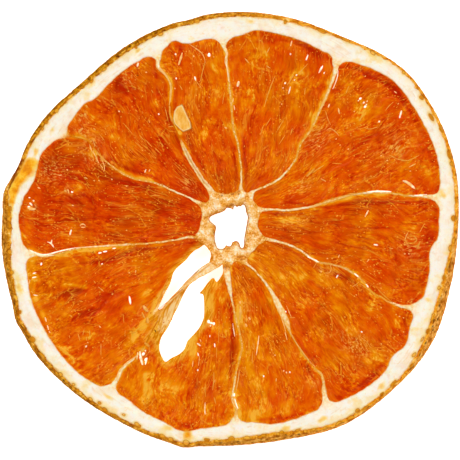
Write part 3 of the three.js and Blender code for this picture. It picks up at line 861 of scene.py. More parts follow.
# %% Pith relief
def core_lumps(seed):
    """The spongy core has torn into lumps and little pits."""
    pits = np.abs(ripples(x, y, 1.6, seed + 3, octaves=2))
    return 0.12 * ripples(x, y, 1.3, seed + 2, octaves=3) - 0.1 * pits


def pith_relief(seed):
    spongy = 0.05 * ripples(x, y, 3.5, seed) + 0.035 * ripples(x, y, 0.9, seed + 1, octaves=2)
    rough = in_core * core_lumps(seed)
    crest = on_membrane * (0.1 * ripples(pith_radius, crest_number * 3.1, 2.6, seed + 4) - 0.25 * split)
    crest += on_membrane * soft_step(crest_half, 0.3, 0.5) * 0.1 * ripples(x, y, 0.7, seed + 6, octaves=2)
    shoulder = 0.09 * np.minimum(1, crest_half / 0.3) * roundness**2.4
    melted = 0.2 * soft_step(amber_share, 1.0, 1.9)
    core_lip = 0.45 * (1 - soft_step(to_hole, 0, 0.7))**2
    under_rind = 0.3 * (1 - soft_step(from_rind, 0, 0.2))
    pits = 0.04 * soft_step(gland_depth, -0.02, 0.12)
    return spongy + rough + crest - shoulder - melted - core_lip - under_rind - pits


gland_depth, gland_tone = gland_rims(pith_plan)
print("relief of the pith:", (pith_relief(1).max() - pith_relief(1).min()).round(2), "mm")

# %% [markdown]
# Now the plan becomes a piece. Where the slice leans, its lower skin is moved outwards under
# the rind, and the cut borders waver a little, because the knife went through soft tissue.

# %% Pith
WALL_SHARES = (0.25, 0.5, 0.75)  # where the wall's rows lie between the upper and the lower skin

upper, lower = face_levels(pith_plan)
outwards = from_polar(1.0, pith_angle)
ring_width = outline_radius(pith_angle) - wall_radius(pith_angle)
lean_share = rim_lean(pith_angle) * soft_step(beyond_wall, 0.0, np.maximum(ring_width - 1, 0.5))
below_plan = pith_plan + outwards * lean_share[:, None]
steady = soft_step(from_rind, 0.1, 0.6) * soft_step(to_hole, 0, 0.4)
waver = 0.07 * steady[:, None] * np.column_stack([
    ripples(x, y, 0.9, seed, octaves=2) for seed in (14, 15)])
pith_top = np.column_stack([pith_plan + waver, upper + pith_relief(1)])
pith_bottom = np.column_stack([below_plan + waver, lower - pith_relief(7)])


def pith_wall_rows(edge):
    return [pith_top[edge] * (1 - share) + pith_bottom[edge] * share for share in WALL_SHARES]


points, faces = two_skins(pith_plan, pith_net, pith_top, pith_bottom, pith_wall_rows)
pith_values = {
    "rim_depth": from_rind,
    "gland": gland_depth,
    "gland_tone": gland_tone,
    "in_core": in_core,
    "in_ring": in_ring,
    "edge_line": edge_line,
    "lump": core_lumps(1),
    "brown": blobs(pith_plan, CORE_BROWN),
    "to_hole": to_hole,
    "amber": amber_share,
    "round_ring": np.column_stack([np.radians(pith_angle) * RING_RADIUS, pith_radius, 0 * pith_radius]),
    "split": split,
    "stain": np.clip(blobs(pith_plan, STAINS), 0, 1),
}
# Each value is repeated on the lower skin and on the rows of the wall
pith_edge = np.unique(open_edges(pith_net))
pith_attributes = {
    key: np.concatenate([values, values] + [values[pith_edge]] * len(WALL_SHARES))
    for key, values in pith_values.items()
}
pith = make_piece("pith", points, faces, pith_attributes, ["pith_frame"])

# %% [markdown]
# ## The rind
#
# The rind is swept round the slice as one closed band. Its profile starts under the pith's
# surface, comes up to the cut edge, rolls over it and runs down the outside. The outside has
# shrunk over the glands into small pits and has a few broader wrinkles, so each point of the
# profile is pushed in by noise before the mesh is written.
#
# A curve object with a bevel profile could make such a band too. It would keep one profile all
# the way round, though, and this one gets wider, leans outwards and is dented.

# %% Profile of the rind
RIND_PROFILE = [  # inset from the outline where the band is 0.45 mm wide, height, share of the lean
    (0.75, 3.4, 1.0), (0.62, 3.7, 1.0), (0.5, 3.86, 1.0), (0.28, 3.9, 1.0), (0.13, 3.84, 0.98),
    (0.08, 3.62, 0.92), (0.04, 3.2, 0.76), (0.0, 2.5, 0.45), (0.0, 1.6, 0.15), (0.0, 0.9, 0.0),
    (0.08, 0.45, 0.0), (0.2, 0.2, 0.0), (0.38, 0.1, 0.0), (0.6, 0.14, 0.0), (0.75, 0.3, 0.0),
    (0.85, 0.55, 0.0), (0.9, 1.6, 0.15), (0.9, 2.6, 0.5),
]
RIND_STEPS = 1240  # profiles round the slice
RIND_RADIUS = 33.6  # about the middle radius of the band
PROFILE_WIDTH = 0.45  # the profile is drawn for a rind of this width in mm
PROFILE_SPACING = 0.13

profile_path = np.array(RIND_PROFILE + RIND_PROFILE[:1], float)
profile_lengths = np.r_[0, np.cumsum(np.linalg.norm(np.diff(profile_path[:, :2], axis=0), axis=1))]
profile_count = int(profile_lengths[-1] / PROFILE_SPACING)
profile_at = np.linspace(0, profile_lengths[-1], profile_count, endpoint=False)
inset, height, lean_part = (np.interp(profile_at, profile_lengths, column) for column in profile_path.T)
skin_from, skin_to = profile_lengths[3], profile_lengths[12]  # the stretch that is the outer skin

rind_angle = np.repeat(np.arange(RIND_STEPS) * 360 / RIND_STEPS, len(inset))
inset, height, lean_part, profile_at = (
    np.tile(values, RIND_STEPS) for values in (inset, height, lean_part, profile_at))
rind_along = np.radians(rind_angle) * RIND_RADIUS
is_skin = soft_step(profile_at, skin_from - 0.2, skin_from + 0.3)
is_skin = is_skin * (1 - soft_step(profile_at, skin_to - 0.2, skin_to + 0.3))
print("points in the rind's profile:", profile_count)

# %% [markdown]
# The pits are cells about 1 mm wide, the spacing of the oil glands, with finer ones between.

# %% Pits and wrinkles of the rind
PIT_WIDTH, FINE_PIT_WIDTH = 0.95, 0.5

pit_distance, _, pit_number, _ = sacs(rind_along / PIT_WIDTH, profile_at / PIT_WIDTH, 3)
fine_pit_distance = sacs(rind_along / FINE_PIT_WIDTH, profile_at / FINE_PIT_WIDTH, 5)[0]
pits = 0.12 * np.clip(1 - pit_distance / 0.45, 0, 1)
pits = is_skin * (pits + 0.05 * np.clip(1 - fine_pit_distance / 0.5, 0, 1))
wrinkles = 0.07 * np.abs(ripples(rind_along, height, 2.2, 31, octaves=2))
wrinkles = wrinkles + 0.05 * np.abs(ripples(rind_along, height, 0.8, 32))
edge_wander = (1 - is_skin) * 0.34 * ripples(rind_along, height * 0.2, 0.9, 33, octaves=2)
widening = np.maximum(1, rind_width(rind_angle) / PROFILE_WIDTH)
widened = inset * np.where(height > RING_HEIGHT / 2, widening, 1)
rind_radius = (outline_radius(rind_angle) - rim_lean(rind_angle) * lean_part - widened - RIM_MARGIN
               - pits - is_skin * wrinkles - np.maximum(edge_wander, -inset + 0.05))
upper_part = soft_step(height, 1.6, 3.0)
swell = 0.07 * ripples(rind_along, 0 * height, 3.0, 34, octaves=2) - 0.02
rind_height = height + upper_part * swell
rind_plan = from_polar(rind_radius, rind_angle)
rind_gland, rind_gland_tone = gland_rims(rind_plan)
rind_height = rind_height - upper_part * 0.08 * soft_step(rind_gland, 0, 0.1) * (1 - is_skin)
rind_height = np.clip(rind_height, 0.02, RING_HEIGHT)
rind_points = np.column_stack([rind_plan, rind_height])
print("deepest pit of the rind:", pits.max().round(2), "mm")

# %% [markdown]
# Each profile is joined to the next one by a row of four-sided faces, and the last to the first.

# %% Rind
ring_count = len(rind_points) // RIND_STEPS
step, around = np.meshgrid(np.arange(RIND_STEPS), np.arange(ring_count), indexing="ij")
next_step, next_around = (step + 1) % RIND_STEPS, (around + 1) % ring_count
corners = [step * ring_count + around, step * ring_count + next_around,
           next_step * ring_count + next_around, next_step * ring_count + around]
rind_faces = np.stack([corner.ravel() for corner in corners], -1)
# Partly the skin's own colour and partly painted light: higher values paint the side of the slice that
# faces the light brighter and more orange.
RIND_TONES_AND_PAINTED_LIGHT = [  # angle, how bright and orange the outer skin is there
    (0, 0.9), (30, 1.0), (60, 0.85), (85, 0.4), (110, 0.1), (150, 0.05), (163, 0.3), (175, 0.35),
    (200, 0.25), (225, 0.2), (250, 0.3), (285, 0.5), (310, 0.8), (340, 0.85),
]
rind_tone_and_painted_light = curve_through(RIND_TONES_AND_PAINTED_LIGHT, 360)(rind_angle)
rind_attributes = {
    "rind_tone_and_painted_light": rind_tone_and_painted_light,
    "rim_depth": inset + 0 * rind_angle,
    "skin": is_skin,
    "pit": 0.45 - pit_distance,
    "pit_number": pit_number,
    "gland": rind_gland,
    "gland_tone": rind_gland_tone,
    "scar": blobs(rind_plan, RIND_SCARS),
}
rind = make_piece("rind", rind_points, rind_faces, rind_attributes, ["pith_frame"])

# %% [markdown]
# ## The pulp
#
# Each segment was a bag of juice sacs, spindles about 1.5 mm wide and 6 mm long that point from
# the peel to the core. Dried, they lie as flat, glossy, overlapping skins. A sheet for each
# segment could be wrinkled with a cloth simulation, but that would not know which way the sacs
# run. So its relief is worked out from flow lines: `across` and `along` follow the segment from
# membrane to membrane and from core to peel, and the sacs are cells stretched along them.
#
# The large patches of colour differ from sac to sac. Those that are seen at first glance are
# listed here by place, and noise adds the many small ones.

# %% Pulp zones
PULP_SPACING = 0.18
PULP_TUCK = -0.09  # the pulp's edge reaches this far into the pith
PULP_DROP = 0.12  # how far its edge lies below the membranes' crests
PULP_SAG = 0.5  # how deep the pulp hangs in the middle of a segment
SAC_WIDTH, SAC_LENGTH = 1.5, 4.2
FINE_SAC_WIDTH, FINE_SAC_LENGTH = 0.7, 2.0

# Zones of deeper red (-) and of amber (+): x, y, half length along the flow, half width, strength
ZONES = [
    (-15.8, 21.2, 1.6, 1.1, -0.9), (-9.2, 17.3, 1.2, 0.6, -0.7), (-8.6, 9.5, 3.5, 1.4, -0.5),
    (-5, 5.2, 2, 1, -0.8), (-12, 13, 4, 2, -0.3), (-19.5, 16, 2, 1, 0.5), (-17.2, 14, 1.6, 0.7, 0.6),
    (-22.5, 16.5, 1.5, 1.8, 0.3), (-24, 8.6, 3.5, 2.2, -0.7), (-26, 11.4, 2, 1.4, -0.5),
    (-19.5, 8.8, 2.5, 1.2, -0.6), (-8, 2.2, 3.5, 0.9, -0.8), (-14, 4.6, 5, 1, -0.5),
    (-23, 4.1, 5, 0.7, -0.5), (-30.2, 0.8, 0.9, 4, 0.9), (-22, 6.2, 1.8, 0.6, 0.6), (-27, -1.6, 3, 1, 0.2),
    (-20.3, 10.6, 1.4, 1.4, 0.9), (-21.6, 13.6, 1.4, 1.2, 0.6), (-12, 0.2, 5, 0.8, 0.1),
    (-25, 12.5, 3, 0.6, 0.3), (-24, -9.9, 3.5, 0.8, -0.9), (-21, -12.6, 2.6, 1.2, -0.7),
    (-16.5, -4.4, 5, 0.35, -0.9), (-7.2, -3.2, 1.6, 0.7, -0.7), (-17.5, -11, 3, 1.2, -0.4),
    (-29.3, -6, 0.9, 2.6, 0.9), (-13.3, -14.6, 3, 0.9, 0.9), (-20.5, -3.3, 4, 0.5, 0.6),
    (-24, -7.2, 3, 0.9, 0.3), (-11.6, -8.6, 2.6, 0.9, 0.6), (-12.5, -10.8, 2.4, 1.2, 0.7),
    (-13.0, -12.9, 1.5, 1.3, 0.5), (-24.5, -18, 0.6, 3, 0.4), (-27.6, -12.6, 0.7, 3, 0.4),
    (-12, -23, 3.4, 2.6, 0.4), (-2.6, -10.2, 3, 1.2, 0.6), (-15.6, -22.4, 1.4, 2, 0.4),
    (-9.5, -27, 1.6, 2.6, 0.4), (-5.2, -23, 3, 0.9, -0.5), (-0.3, -11.2, 0.9, 0.6, -0.8),
    (0.2, -15.8, 2.2, 0.4, -1.0), (-6.8, -29, 0.6, 1.4, -0.8), (-3, -29, 0.6, 2.6, -0.3),
    (-5.5, -17.6, 2.4, 0.6, 0.6), (-9.6, -21.6, 2, 1, 0.4), (-2, -20, 3, 0.8, -0.1),
    (1.8, -12.8, 2, 0.9, 0.9), (4, -22, 5, 2, 0.5), (6, -27, 1.6, 3.4, 0.2), (2.2, -7.4, 1.8, 1.2, -0.1),
    (5, -12.2, 2, 0.7, -0.4), (7.4, -18, 3, 0.9, -0.3), (11, -25, 2, 1, -0.2), (9.5, -22, 3, 0.8, 0.2),
    (3.2, -4.1, 0.8, 0.7, 1.2), (5.6, -6.2, 2.4, 1.4, 0.8), (9, -9, 3, 1.6, 0.2),
    (20.4, -22.4, 0.8, 2.6, -0.6), (15, -15, 5, 1, -0.3), (26.2, -13.5, 0.6, 1.5, -0.3),
    (17, -6.9, 2, 0.6, -0.7), (16.6, -24.8, 0.7, 1.8, -0.5), (20, -17, 3, 1, 0.2), (12, -10.5, 3, 1, -0.2),
    (24, -13, 2, 1.4, 0.2), (12.2, -19, 3.4, 0.7, 0.2), (9, 1.4, 3, 0.8, 0.8), (5.6, 2, 1.6, 0.7, 0.5),
    (22, -1, 3, 1, 0.2), (29.3, 2.5, 0.9, 1.6, 0.1), (15, 0.2, 4, 1, -0.4), (13, -2.6, 4, 0.6, -0.6),
    (27.8, -6, 1.6, 2.6, -0.6), (29.3, -1.6, 0.9, 1.8, -0.6), (20, -5, 3, 1.6, -0.3), (8, -1, 2, 0.5, -0.5),
    (27, 0.6, 1.4, 1.4, 0.3), (22, 3.7, 6, 0.35, -0.6), (19, 15.4, 3.4, 2.4, 0.5),
    (8.4, 6.1, 2.6, 1.1, 0.5), (13.4, 9.2, 2.6, 1.6, 0.4), (18, 20.4, 2.6, 1.4, 0.3),
    (11.6, 11.6, 2, 0.5, -0.6), (24.6, 20, 0.8, 0.7, -1.0), (20.4, 11.2, 5, 0.8, -0.3),
    (22.4, 14.2, 2, 0.5, -0.4), (10, 4.2, 3, 0.5, -0.3), (26, 11, 2, 1.4, 0.3), (25.5, 8, 2.4, 1, 0.1),
    (14.5, 6.6, 2.4, 0.7, 0.2), (4, 26, 2.8, 2.8, 0.6), (2, 18.4, 5, 0.9, 0.4), (8, 22, 4, 1.4, 0.2),
    (2.8, 14, 4, 0.5, -0.6), (3.6, 9, 2.2, 1.2, -0.6), (13.4, 26, 0.8, 2, -0.8), (2, 28.2, 0.8, 1.4, -0.5),
    (10.6, 24, 2.6, 1, 0.2), (6.6, 17, 4, 1, -0.1), (12.4, 21.4, 3, 0.8, 0.2), (-3, 27, 1.4, 1.6, 0.4),
    (-7.5, 27, 0.7, 0.6, -0.7), (-1.2, 8, 3, 1.2, -0.9), (-2.2, 12.2, 3, 0.9, -0.3),
    (-9.2, 27.2, 0.6, 0.5, -0.9), (-5, 21, 4, 1.2, 0.1), (-3.4, 17, 4, 1, -0.2), (-1.2, 21.5, 4, 0.8, 0.3),
    (-28.9, -10.4, 0.4, 2.4, 0.7), (-27.5, -13.6, 0.35, 2.6, 0.45), (-25.6, -17, 0.4, 2.6, 0.6),
    (-23.2, -20.2, 0.35, 2.4, 0.6), (-20, -22.9, 0.4, 2, 0.4),
]
print("pulp zones:", len(ZONES))

# %% Margins and bands of the pulp
# The dark margin that some cells have along the peel: segment, depth in mm, strength
MARGINS = {0: (1.1, -0.45), 1: (0.8, -0.35), 9: (0.7, -0.35)}
SEGMENT_TONES = [0.02, 0.05, 0.16, -0.15, -0.46, 0.12, 0.3, 0.28, 0.12, -0.06]
# Clear amber bands along the membranes: segment, side, radius from and to, width in mm, strength
BANDS = [
    (9, 1, 12, 24, 0.9, 1.3), (9, 1, 22, 30, 1.3, 0.6), (1, 0, 12, 19, 0.4, 0.6), (1, 0, 19, 28, 0.8, 1.3),
    (5, 0, 16, 27, 0.9, 1.1), (1, 1, 8, 24, 0.4, 0.6), (2, 0, 8, 24, 0.4, 0.6), (2, 1, 17, 27, 0.7, 0.9),
    (3, 0, 19, 25, 0.7, 1.1), (3, 1, 13, 19, 0.8, 1.0), (4, 0, 8, 20, 0.3, 0.5), (6, 1, 12, 22, 0.6, 0.9),
    (6, 1, 24, 29, 0.6, 0.8), (7, 0, 24, 29, 0.8, 1.0), (7, 1, 18, 27, 0.4, 0.6), (8, 1, 21, 25, 1.2, 0.8),
    (0, 0, 22, 29, 0.4, 0.5), (0, 1, 8, 16, 0.4, 0.5), (8, 0, 9, 16, 0.5, 0.5), (7, 0, 5, 8, 0.6, 0.9),
]
print("segments with a dark margin:", len(MARGINS), "and amber bands:", len(BANDS))

# %% Creases of the pulp
# Narrow folds of the skin. Down in one the red is deeper (-), up on one it is clear amber (+),
# partly the skin's own colour and partly painted shade and light: strength, half width in mm, then
# the points of its line
CREASES = [
    (-1.6, 0.3, (17.5, 24.1), (19.5, 23.5), (20.3, 22.7), (22, 22.1), (24, 21), (25.2, 19.8), (27, 17)),
    (-1.0, 0.3, (22, 14.4), (20, 13), (18, 11.8)),
    (-1.2, 0.25, (8, 4.1), (14, 3.2), (19, 3.9), (24, 3.8), (29, 3.9)),
    (-1.2, 0.2, (-0.4, -10.5), (0.2, -12), (0.3, -14)),
    (-1.7, 0.24, (0.3, -14), (0.35, -16), (0.25, -19), (0.1, -21), (0, -22.5)),
    (-1.4, 0.35, (-9.1, 18.8), (-9, 17.6), (-9.1, 16), (-8.7, 15.4)),
    (-1.2, 0.3, (-8.3, 14.6), (-7.8, 13.4), (-6.9, 11.6)),
    (-1.3, 0.35, (-6.3, 14.2), (-6.1, 13), (-5.4, 11.2)),
    (-1.3, 0.5, (-16.4, 22), (-15.9, 20.8), (-15.4, 20)), (-1.1, 0.3, (-16.8, 21.8), (-16.5, 20.6)),
    (-1.0, 0.2, (-11.3, 24.6), (-11.1, 23.8), (-10.9, 22.4)), (-0.9, 0.3, (-10.9, 21), (-10.7, 19.8)),
    (-1.0, 0.2, (-7.4, 27.4), (-7.5, 26.6)), (-1.0, 0.2, (-9.4, 27.1), (-8.9, 27.6)),
    (-1.5, 0.26, (-22.8, -5.3), (-20.5, -5), (-18.5, -4.8), (-16.5, -4.1), (-14.4, -3.1), (-11, -2.9)),
    (-1.5, 0.4, (-25.4, -10), (-24, -9.5), (-22.6, -9.3), (-21.3, -9.2)),
    (-1.2, 0.4, (-23.4, -13.4), (-21.4, -12.5), (-19.4, -11.9), (-18.6, -10.6)),
    (-0.8, 0.5, (-21, -11), (-18.6, -9.8), (-16, -9.6)), (-1.0, 0.16, (-27.1, 4.2), (-25.9, 4), (-24.8, 4)),
    (-1.0, 0.16, (-27, 2.9), (-25.8, 2.7), (-25, 2.6)), (-0.9, 0.25, (-23, 4.9), (-21.6, 5), (-20.3, 4.4)),
    (-0.9, 0.2, (-23.4, 7.6), (-21, 7.3)), (-0.8, 0.2, (-26, 1.1), (-23, 1.4), (-19.5, 1.5)),
    (-0.9, 0.25, (-22.6, -0.2), (-21, -0.1), (-17, -0.7)),
    (-1.1, 0.3, (-19.4, 7.8), (-16.5, 7), (-13.4, 6.2), (-9.5, 5)),
    (-1.1, 0.3, (-18, 10.5), (-15.2, 9), (-11, 7.5)), (-1.2, 0.2, (15, -6.9), (17, -7.2), (18.6, -8)),
    (-1.0, 0.3, (17.3, -6.8), (19, -8.9), (21, -10.5)), (-0.8, 0.3, (9.5, -15.7), (12.2, -19.4)),
    (-1.3, 0.3, (12.6, -19), (11.4, -20.6), (12.6, -22.8)), (-0.8, 0.3, (4.4, -4.4), (7.6, -9.4)),
    (-1.0, 0.25, (2.4, 5.6), (2.4, 9), (2, 13)), (-1.0, 0.3, (0.9, 6), (0.8, 9), (0.4, 12)),
    (-0.9, 0.3, (-2.8, 6.8), (-4.6, 10.2), (-5.4, 12.6)), (-0.8, 0.25, (5, 2.4), (9, 2.1), (13, 2.7)),
    (-0.9, 0.25, (5.6, -1.9), (9, -3.1), (11, -4.3)), (-0.9, 0.3, (5, 0.5), (8, -0.1), (13, -0.6)),
    (-0.8, 0.16, (15, 0.6), (20, 0.1), (25, 0.2)), (-0.8, 0.16, (14, -1.6), (18, -2.6), (22, -3.4)),
    (-0.7, 0.16, (11, 1.1), (14, 0.9), (17.6, 1.4)), (-0.7, 0.2, (-5, -1.9), (-8, -2.4), (-11, -2.9)),
    (-0.9, 0.25, (-5.4, -0.6), (-8, -0.6), (-11, -1)), (-0.9, 0.3, (-5.6, 3), (-8, 3.6), (-11, 4.4)),
    (-0.8, 0.4, (9.8, 27.6), (12.4, 26.4), (14.2, 24.8)), (-0.7, 0.3, (3, 27.7), (6, 28), (8.6, 28)),
    (-0.8, 0.25, (4.4, -28.3), (8, -28.1), (11, -27.4)), (-0.8, 0.3, (-7.4, -29.3), (-5.6, -29.2)),
    (-0.9, 0.4, (23.4, -19.4), (21, -22), (18.4, -24)), (-0.7, 0.4, (25.6, -13), (26, -15.4)),
    (-0.7, 0.3, (-5.2, -21), (-5, -23.6)), (-0.7, 0.3, (-3, -22), (-2.8, -25.2)),
    (0.8, 0.3, (-25, -8.1), (-23.5, -8.3), (-21.4, -8.8)),
    (1.0, 0.16, (-21.5, -3.1), (-20.2, -3.4), (-19.5, -4.1), (-19, -4.6)),
    (1.0, 0.14, (-24.8, -3.7), (-23.5, -4.3), (-22.6, -5.2), (-21.8, -5.8)),
    (1.2, 0.16, (-26, -17.3), (-25, -17.8), (-24, -18.6), (-23.2, -19.4), (-23.1, -20)),
    (-0.9, 0.3, (-25.6, -17.9), (-24.3, -19.2)), (0.9, 0.2, (-18.5, 4), (-17, 3.7), (-15.5, 3.5)),
    (0.9, 0.14, (-30.9, -0.6), (-30.3, -1.4), (-29.8, -2.2)),
    (0.8, 0.3, (-22.9, 7), (-22.2, 6.2), (-23.2, 5.6)), (1.3, 0.3, (-7.6, 14.6), (-7.2, 14)),
    (0.8, 0.5, (-17.8, 13.8), (-16.4, 13.9)), (0.9, 0.16, (-20, -15), (-20.8, -16), (-21.1, -16.8)),
    (1.0, 0.3, (2.2, 28.5), (3.1, 28.4)), (1.0, 0.35, (-4.7, 27.6), (-3.7, 27.9)),
    (0.9, 0.2, (-5, -17.4), (-5.7, -18.2), (-6.2, -19)), (1.2, 0.4, (-14.3, -14.8), (-14.4, -16.8)),
    (1.2, 0.4, (19.5, -7.4), (20.1, -8.2)), (0.9, 0.3, (21.5, -10.3), (21, -12)),
    (1.2, 0.3, (3.1, -4), (3.6, -3.7)), (0.9, 0.3, (9.4, 1.1), (6.4, 1.6)),
    (0.9, 0.4, (1.2, -11.4), (1.7, -13.8)), (0.8, 0.2, (2, -9), (2.6, -11.6)),
]
print("creases:", len(CREASES))

# %% Crystals and films
# Rough pale patches of small crystals and sac ends, whose paleness is partly painted sheen: x, y, half
# length, half width
CRYSTALS_AND_SHEEN = [
    (2.1, -12.4, 2.0, 1.0), (9.7, 1.1, 1.6, 0.7), (10.4, 6.2, 1.8, 0.7), (-12.6, -18.4, 1.0, 0.8),
    (-12.8, -12.2, 0.9, 0.7), (-20.6, 11, 1.6, 1.2), (13, 13.6, 2.4, 1.6), (-22.4, 17, 1.4, 1.0),
    (-19.6, 10.4, 1.5, 0.6), (-20.4, 12.6, 0.8, 1.2), (-21.8, 14.2, 1.2, 0.8), (-26.5, 8.6, 1.6, 1.6),
    (18.5, -17.2, 2.4, 1.6), (27, -2.6, 1.6, 1.4), (14.2, -6.2, 1.0, 0.7), (-15.4, 22.6, 1.4, 0.7),
    (-3, -14, 0.7, 0.6), (-23.6, 5.6, 0.9, 0.7), (-29.4, 3.2, 0.8, 0.8), (27.4, -10.9, 0.7, 0.5),
    (12.3, -22.6, 0.8, 0.7), (24.5, 12, 2.4, 1.4), (-6.2, 6.8, 1.6, 0.8),
]
# Skin as thin as paper beside the tears, in the form of the zones
FILMS = [
    (-9.0, -11.9, 3.2, 0.9, 1.5), (-10.2, -14.4, 1.8, 0.8, 0.9), (-10.0, -9.6, 2.4, 0.45, 0.8),
    (-6.6, -5.2, 2.4, 0.3, 0.1), (-2.9, -9.4, 2.2, 0.9, 0.5), (-2.8, -12.6, 2.4, 0.8, 0.5),
    (-11.4, -12.6, 2.0, 0.6, 1.1), (-6.6, -20.4, 1.4, 1.6, 0.35), (-12.2, -16.2, 1.6, 0.8, 0.6),
    (-5.2, -17.6, 1.0, 1.4, 0.45),
]
print("patches of crystals:", len(CRYSTALS_AND_SHEEN), "and films:", len(FILMS))

# %% [markdown]
# A crease is a soft line. `near_lines` measures how close each point lies to it, and lets the
# line fade out towards both of its ends, as a fold in a skin does.

# %% Soft lines
def near_lines(points, lines):
    """The sum of soft lines, each given as a strength, a half width and its points."""
    total = np.zeros(len(points))
    for strength, half, *corners in lines:
        path = np.array(corners, float)
        reach = 3 * half
        low, high = path.min(0) - reach, path.max(0) + reach
        close = ((points > low) & (points < high)).all(1)
        if not close.any():
            continue
        spot = points[close]
        away = np.full(len(spot), 99.0)
        length = np.r_[0, np.cumsum(np.hypot(*np.diff(path, axis=0).T))]
        travelled = np.zeros(len(spot))
        for start, end, before in zip(path[:-1], path[1:], length):
            leg = end - start
            share = np.clip((spot - start) @ leg / (leg @ leg), 0, 1)
            gap = np.hypot(*(spot - start - share[:, None] * leg).T)
            travelled = np.where(gap < away, before + share * np.hypot(*leg), travelled)
            away = np.minimum(away, gap)
        taper = np.sin(np.pi * (0.12 + 0.76 * travelled / length[-1]))**0.7
        total[close] += strength * taper * np.exp(-(away / (half * (0.4 + 0.6 * taper)))**2)
    return total


print("strength on a crease:", near_lines(np.array([[18.0, 24.0]]), CREASES).round(2))

# %% [markdown]
# A place in a segment is measured along the sacs' flow and across it. Straight lines would look
# combed, so both numbers wander a little with noise.

# %% Flow of a segment
def segment_flow(index, plan, seed):
    """Each point's u and v in its segment, its place across and along the flow, and how far it
    is from both membranes, from the wall at the peel and from the core."""
    u, v = np.clip(cell_numbers(index, plan, PULP_TUCK), 0, 1)
    x, y = plan.T
    radius = polar(plan)[0]
    begin, end = cell_sides(index, radius, PULP_TUCK)
    inner, outer = cell_edges(index, u, PULP_TUCK)
    spread = np.radians(end - begin) * (0.4 * outer + 0.6 * radius)
    warp = 0.7 * ripples(x, y, 6, seed) + 0.22 * ripples(x, y, 1.8, seed + 1)
    across, along = (u - 0.5) * spread + warp, radius + 1.4 * ripples(x, y, 5, seed + 2)
    width = np.radians(end - begin) * radius
    return u, v, across, along, (u * width, (1 - u) * width), (1 - v) * (outer - inner), v * (outer - inner)


print("flow 18 mm out:", np.ravel(segment_flow(0, from_polar(18.0, np.array([90.0])), 60)[2:4]).round(1))

# %% [markdown]
# On the sagging skin lie two sizes of sacs, wrinkles and folds. Each sac is a low dome that
# leans to one side, because the sacs overlap like tiles.

# %% Sacs and wrinkles
def skin_relief(x, y, across, along, seed):
    """The skin's broad swells, the whole relief, and the part of it that the tone follows as painted shade
    and light.
    """
    centre, _, number, lean = sacs(across / SAC_WIDTH, along / SAC_LENGTH, seed)
    fine_centre, _, fine_number, fine_lean = sacs(
        across / FINE_SAC_WIDTH + 9, along / FINE_SAC_LENGTH, seed + 40)
    wet = soft_step(ripples(x, y, 3.2, seed + 5), -0.5, 0.5)
    large_sacs = 0.1 * (1 - 1.5 * centre**2) * (0.3 + 0.7 * number) + 0.18 * lean * (number - 0.2)
    small_sacs = 0.05 * (1 - 1.4 * fine_centre**2) + 0.14 * fine_lean * (fine_number - 0.3)
    broad = 0.22 * ripples(x, y, 7, seed + 6) + 0.13 * ripples(x, y, 2.8, seed + 7)
    fine = 0.05 * ripples(across, along, 0.5, seed + 8, octaves=2, stretch=2.2)
    fold = np.abs(ripples(across, along, 1.5, seed + 9, stretch=3))
    folds = 0.12 * np.clip(1 - fold / 0.09, 0, 1) * soft_step(ripples(x, y, 4, seed + 10), -0.1, 0.4)
    relief = broad + large_sacs + small_sacs * (0.3 + wet) + fine * (0.3 + wet) + folds
    return broad, relief, large_sacs + small_sacs + fine + folds


spots = np.arange(4.0)
print("relief along a line:", skin_relief(spots, spots, spots, spots, 60)[1].round(2), "mm")

# %% [markdown]
# `band_tone` makes the skin clearer along the membranes. `pulp_fields` then works out the height
# of the skin and the finish numbers of one face of a segment. The skin sags between the membranes
# and clings to them. `tone` follows the same shapes: thick places look deep red and thin ones
# amber, and the hollows are painted darker and the crests lighter as painted shade and light.

# %% Amber bands
def band_tone(index, radius, sides, seed):
    """How much clearer the pulp is along the membranes."""
    tone = np.zeros(len(radius))
    for segment, side, start, stop, width, strength in BANDS:
        if segment == index:
            reach = soft_step(radius, start - 1, start + 1.5)
            reach = reach * (1 - soft_step(radius, stop - 1.5, stop + 1))
            ragged = width * (1 + 0.35 * ripples(radius, 0 * radius, 1.6, seed + 20 + side))
            tone += 0.8 * strength * reach * (1 - soft_step(sides[side], 0.45 * ragged, ragged))
    return tone


print("on a band:", band_tone(1, np.array([24.0]), (np.zeros(1), np.ones(1)), 60).round(2))

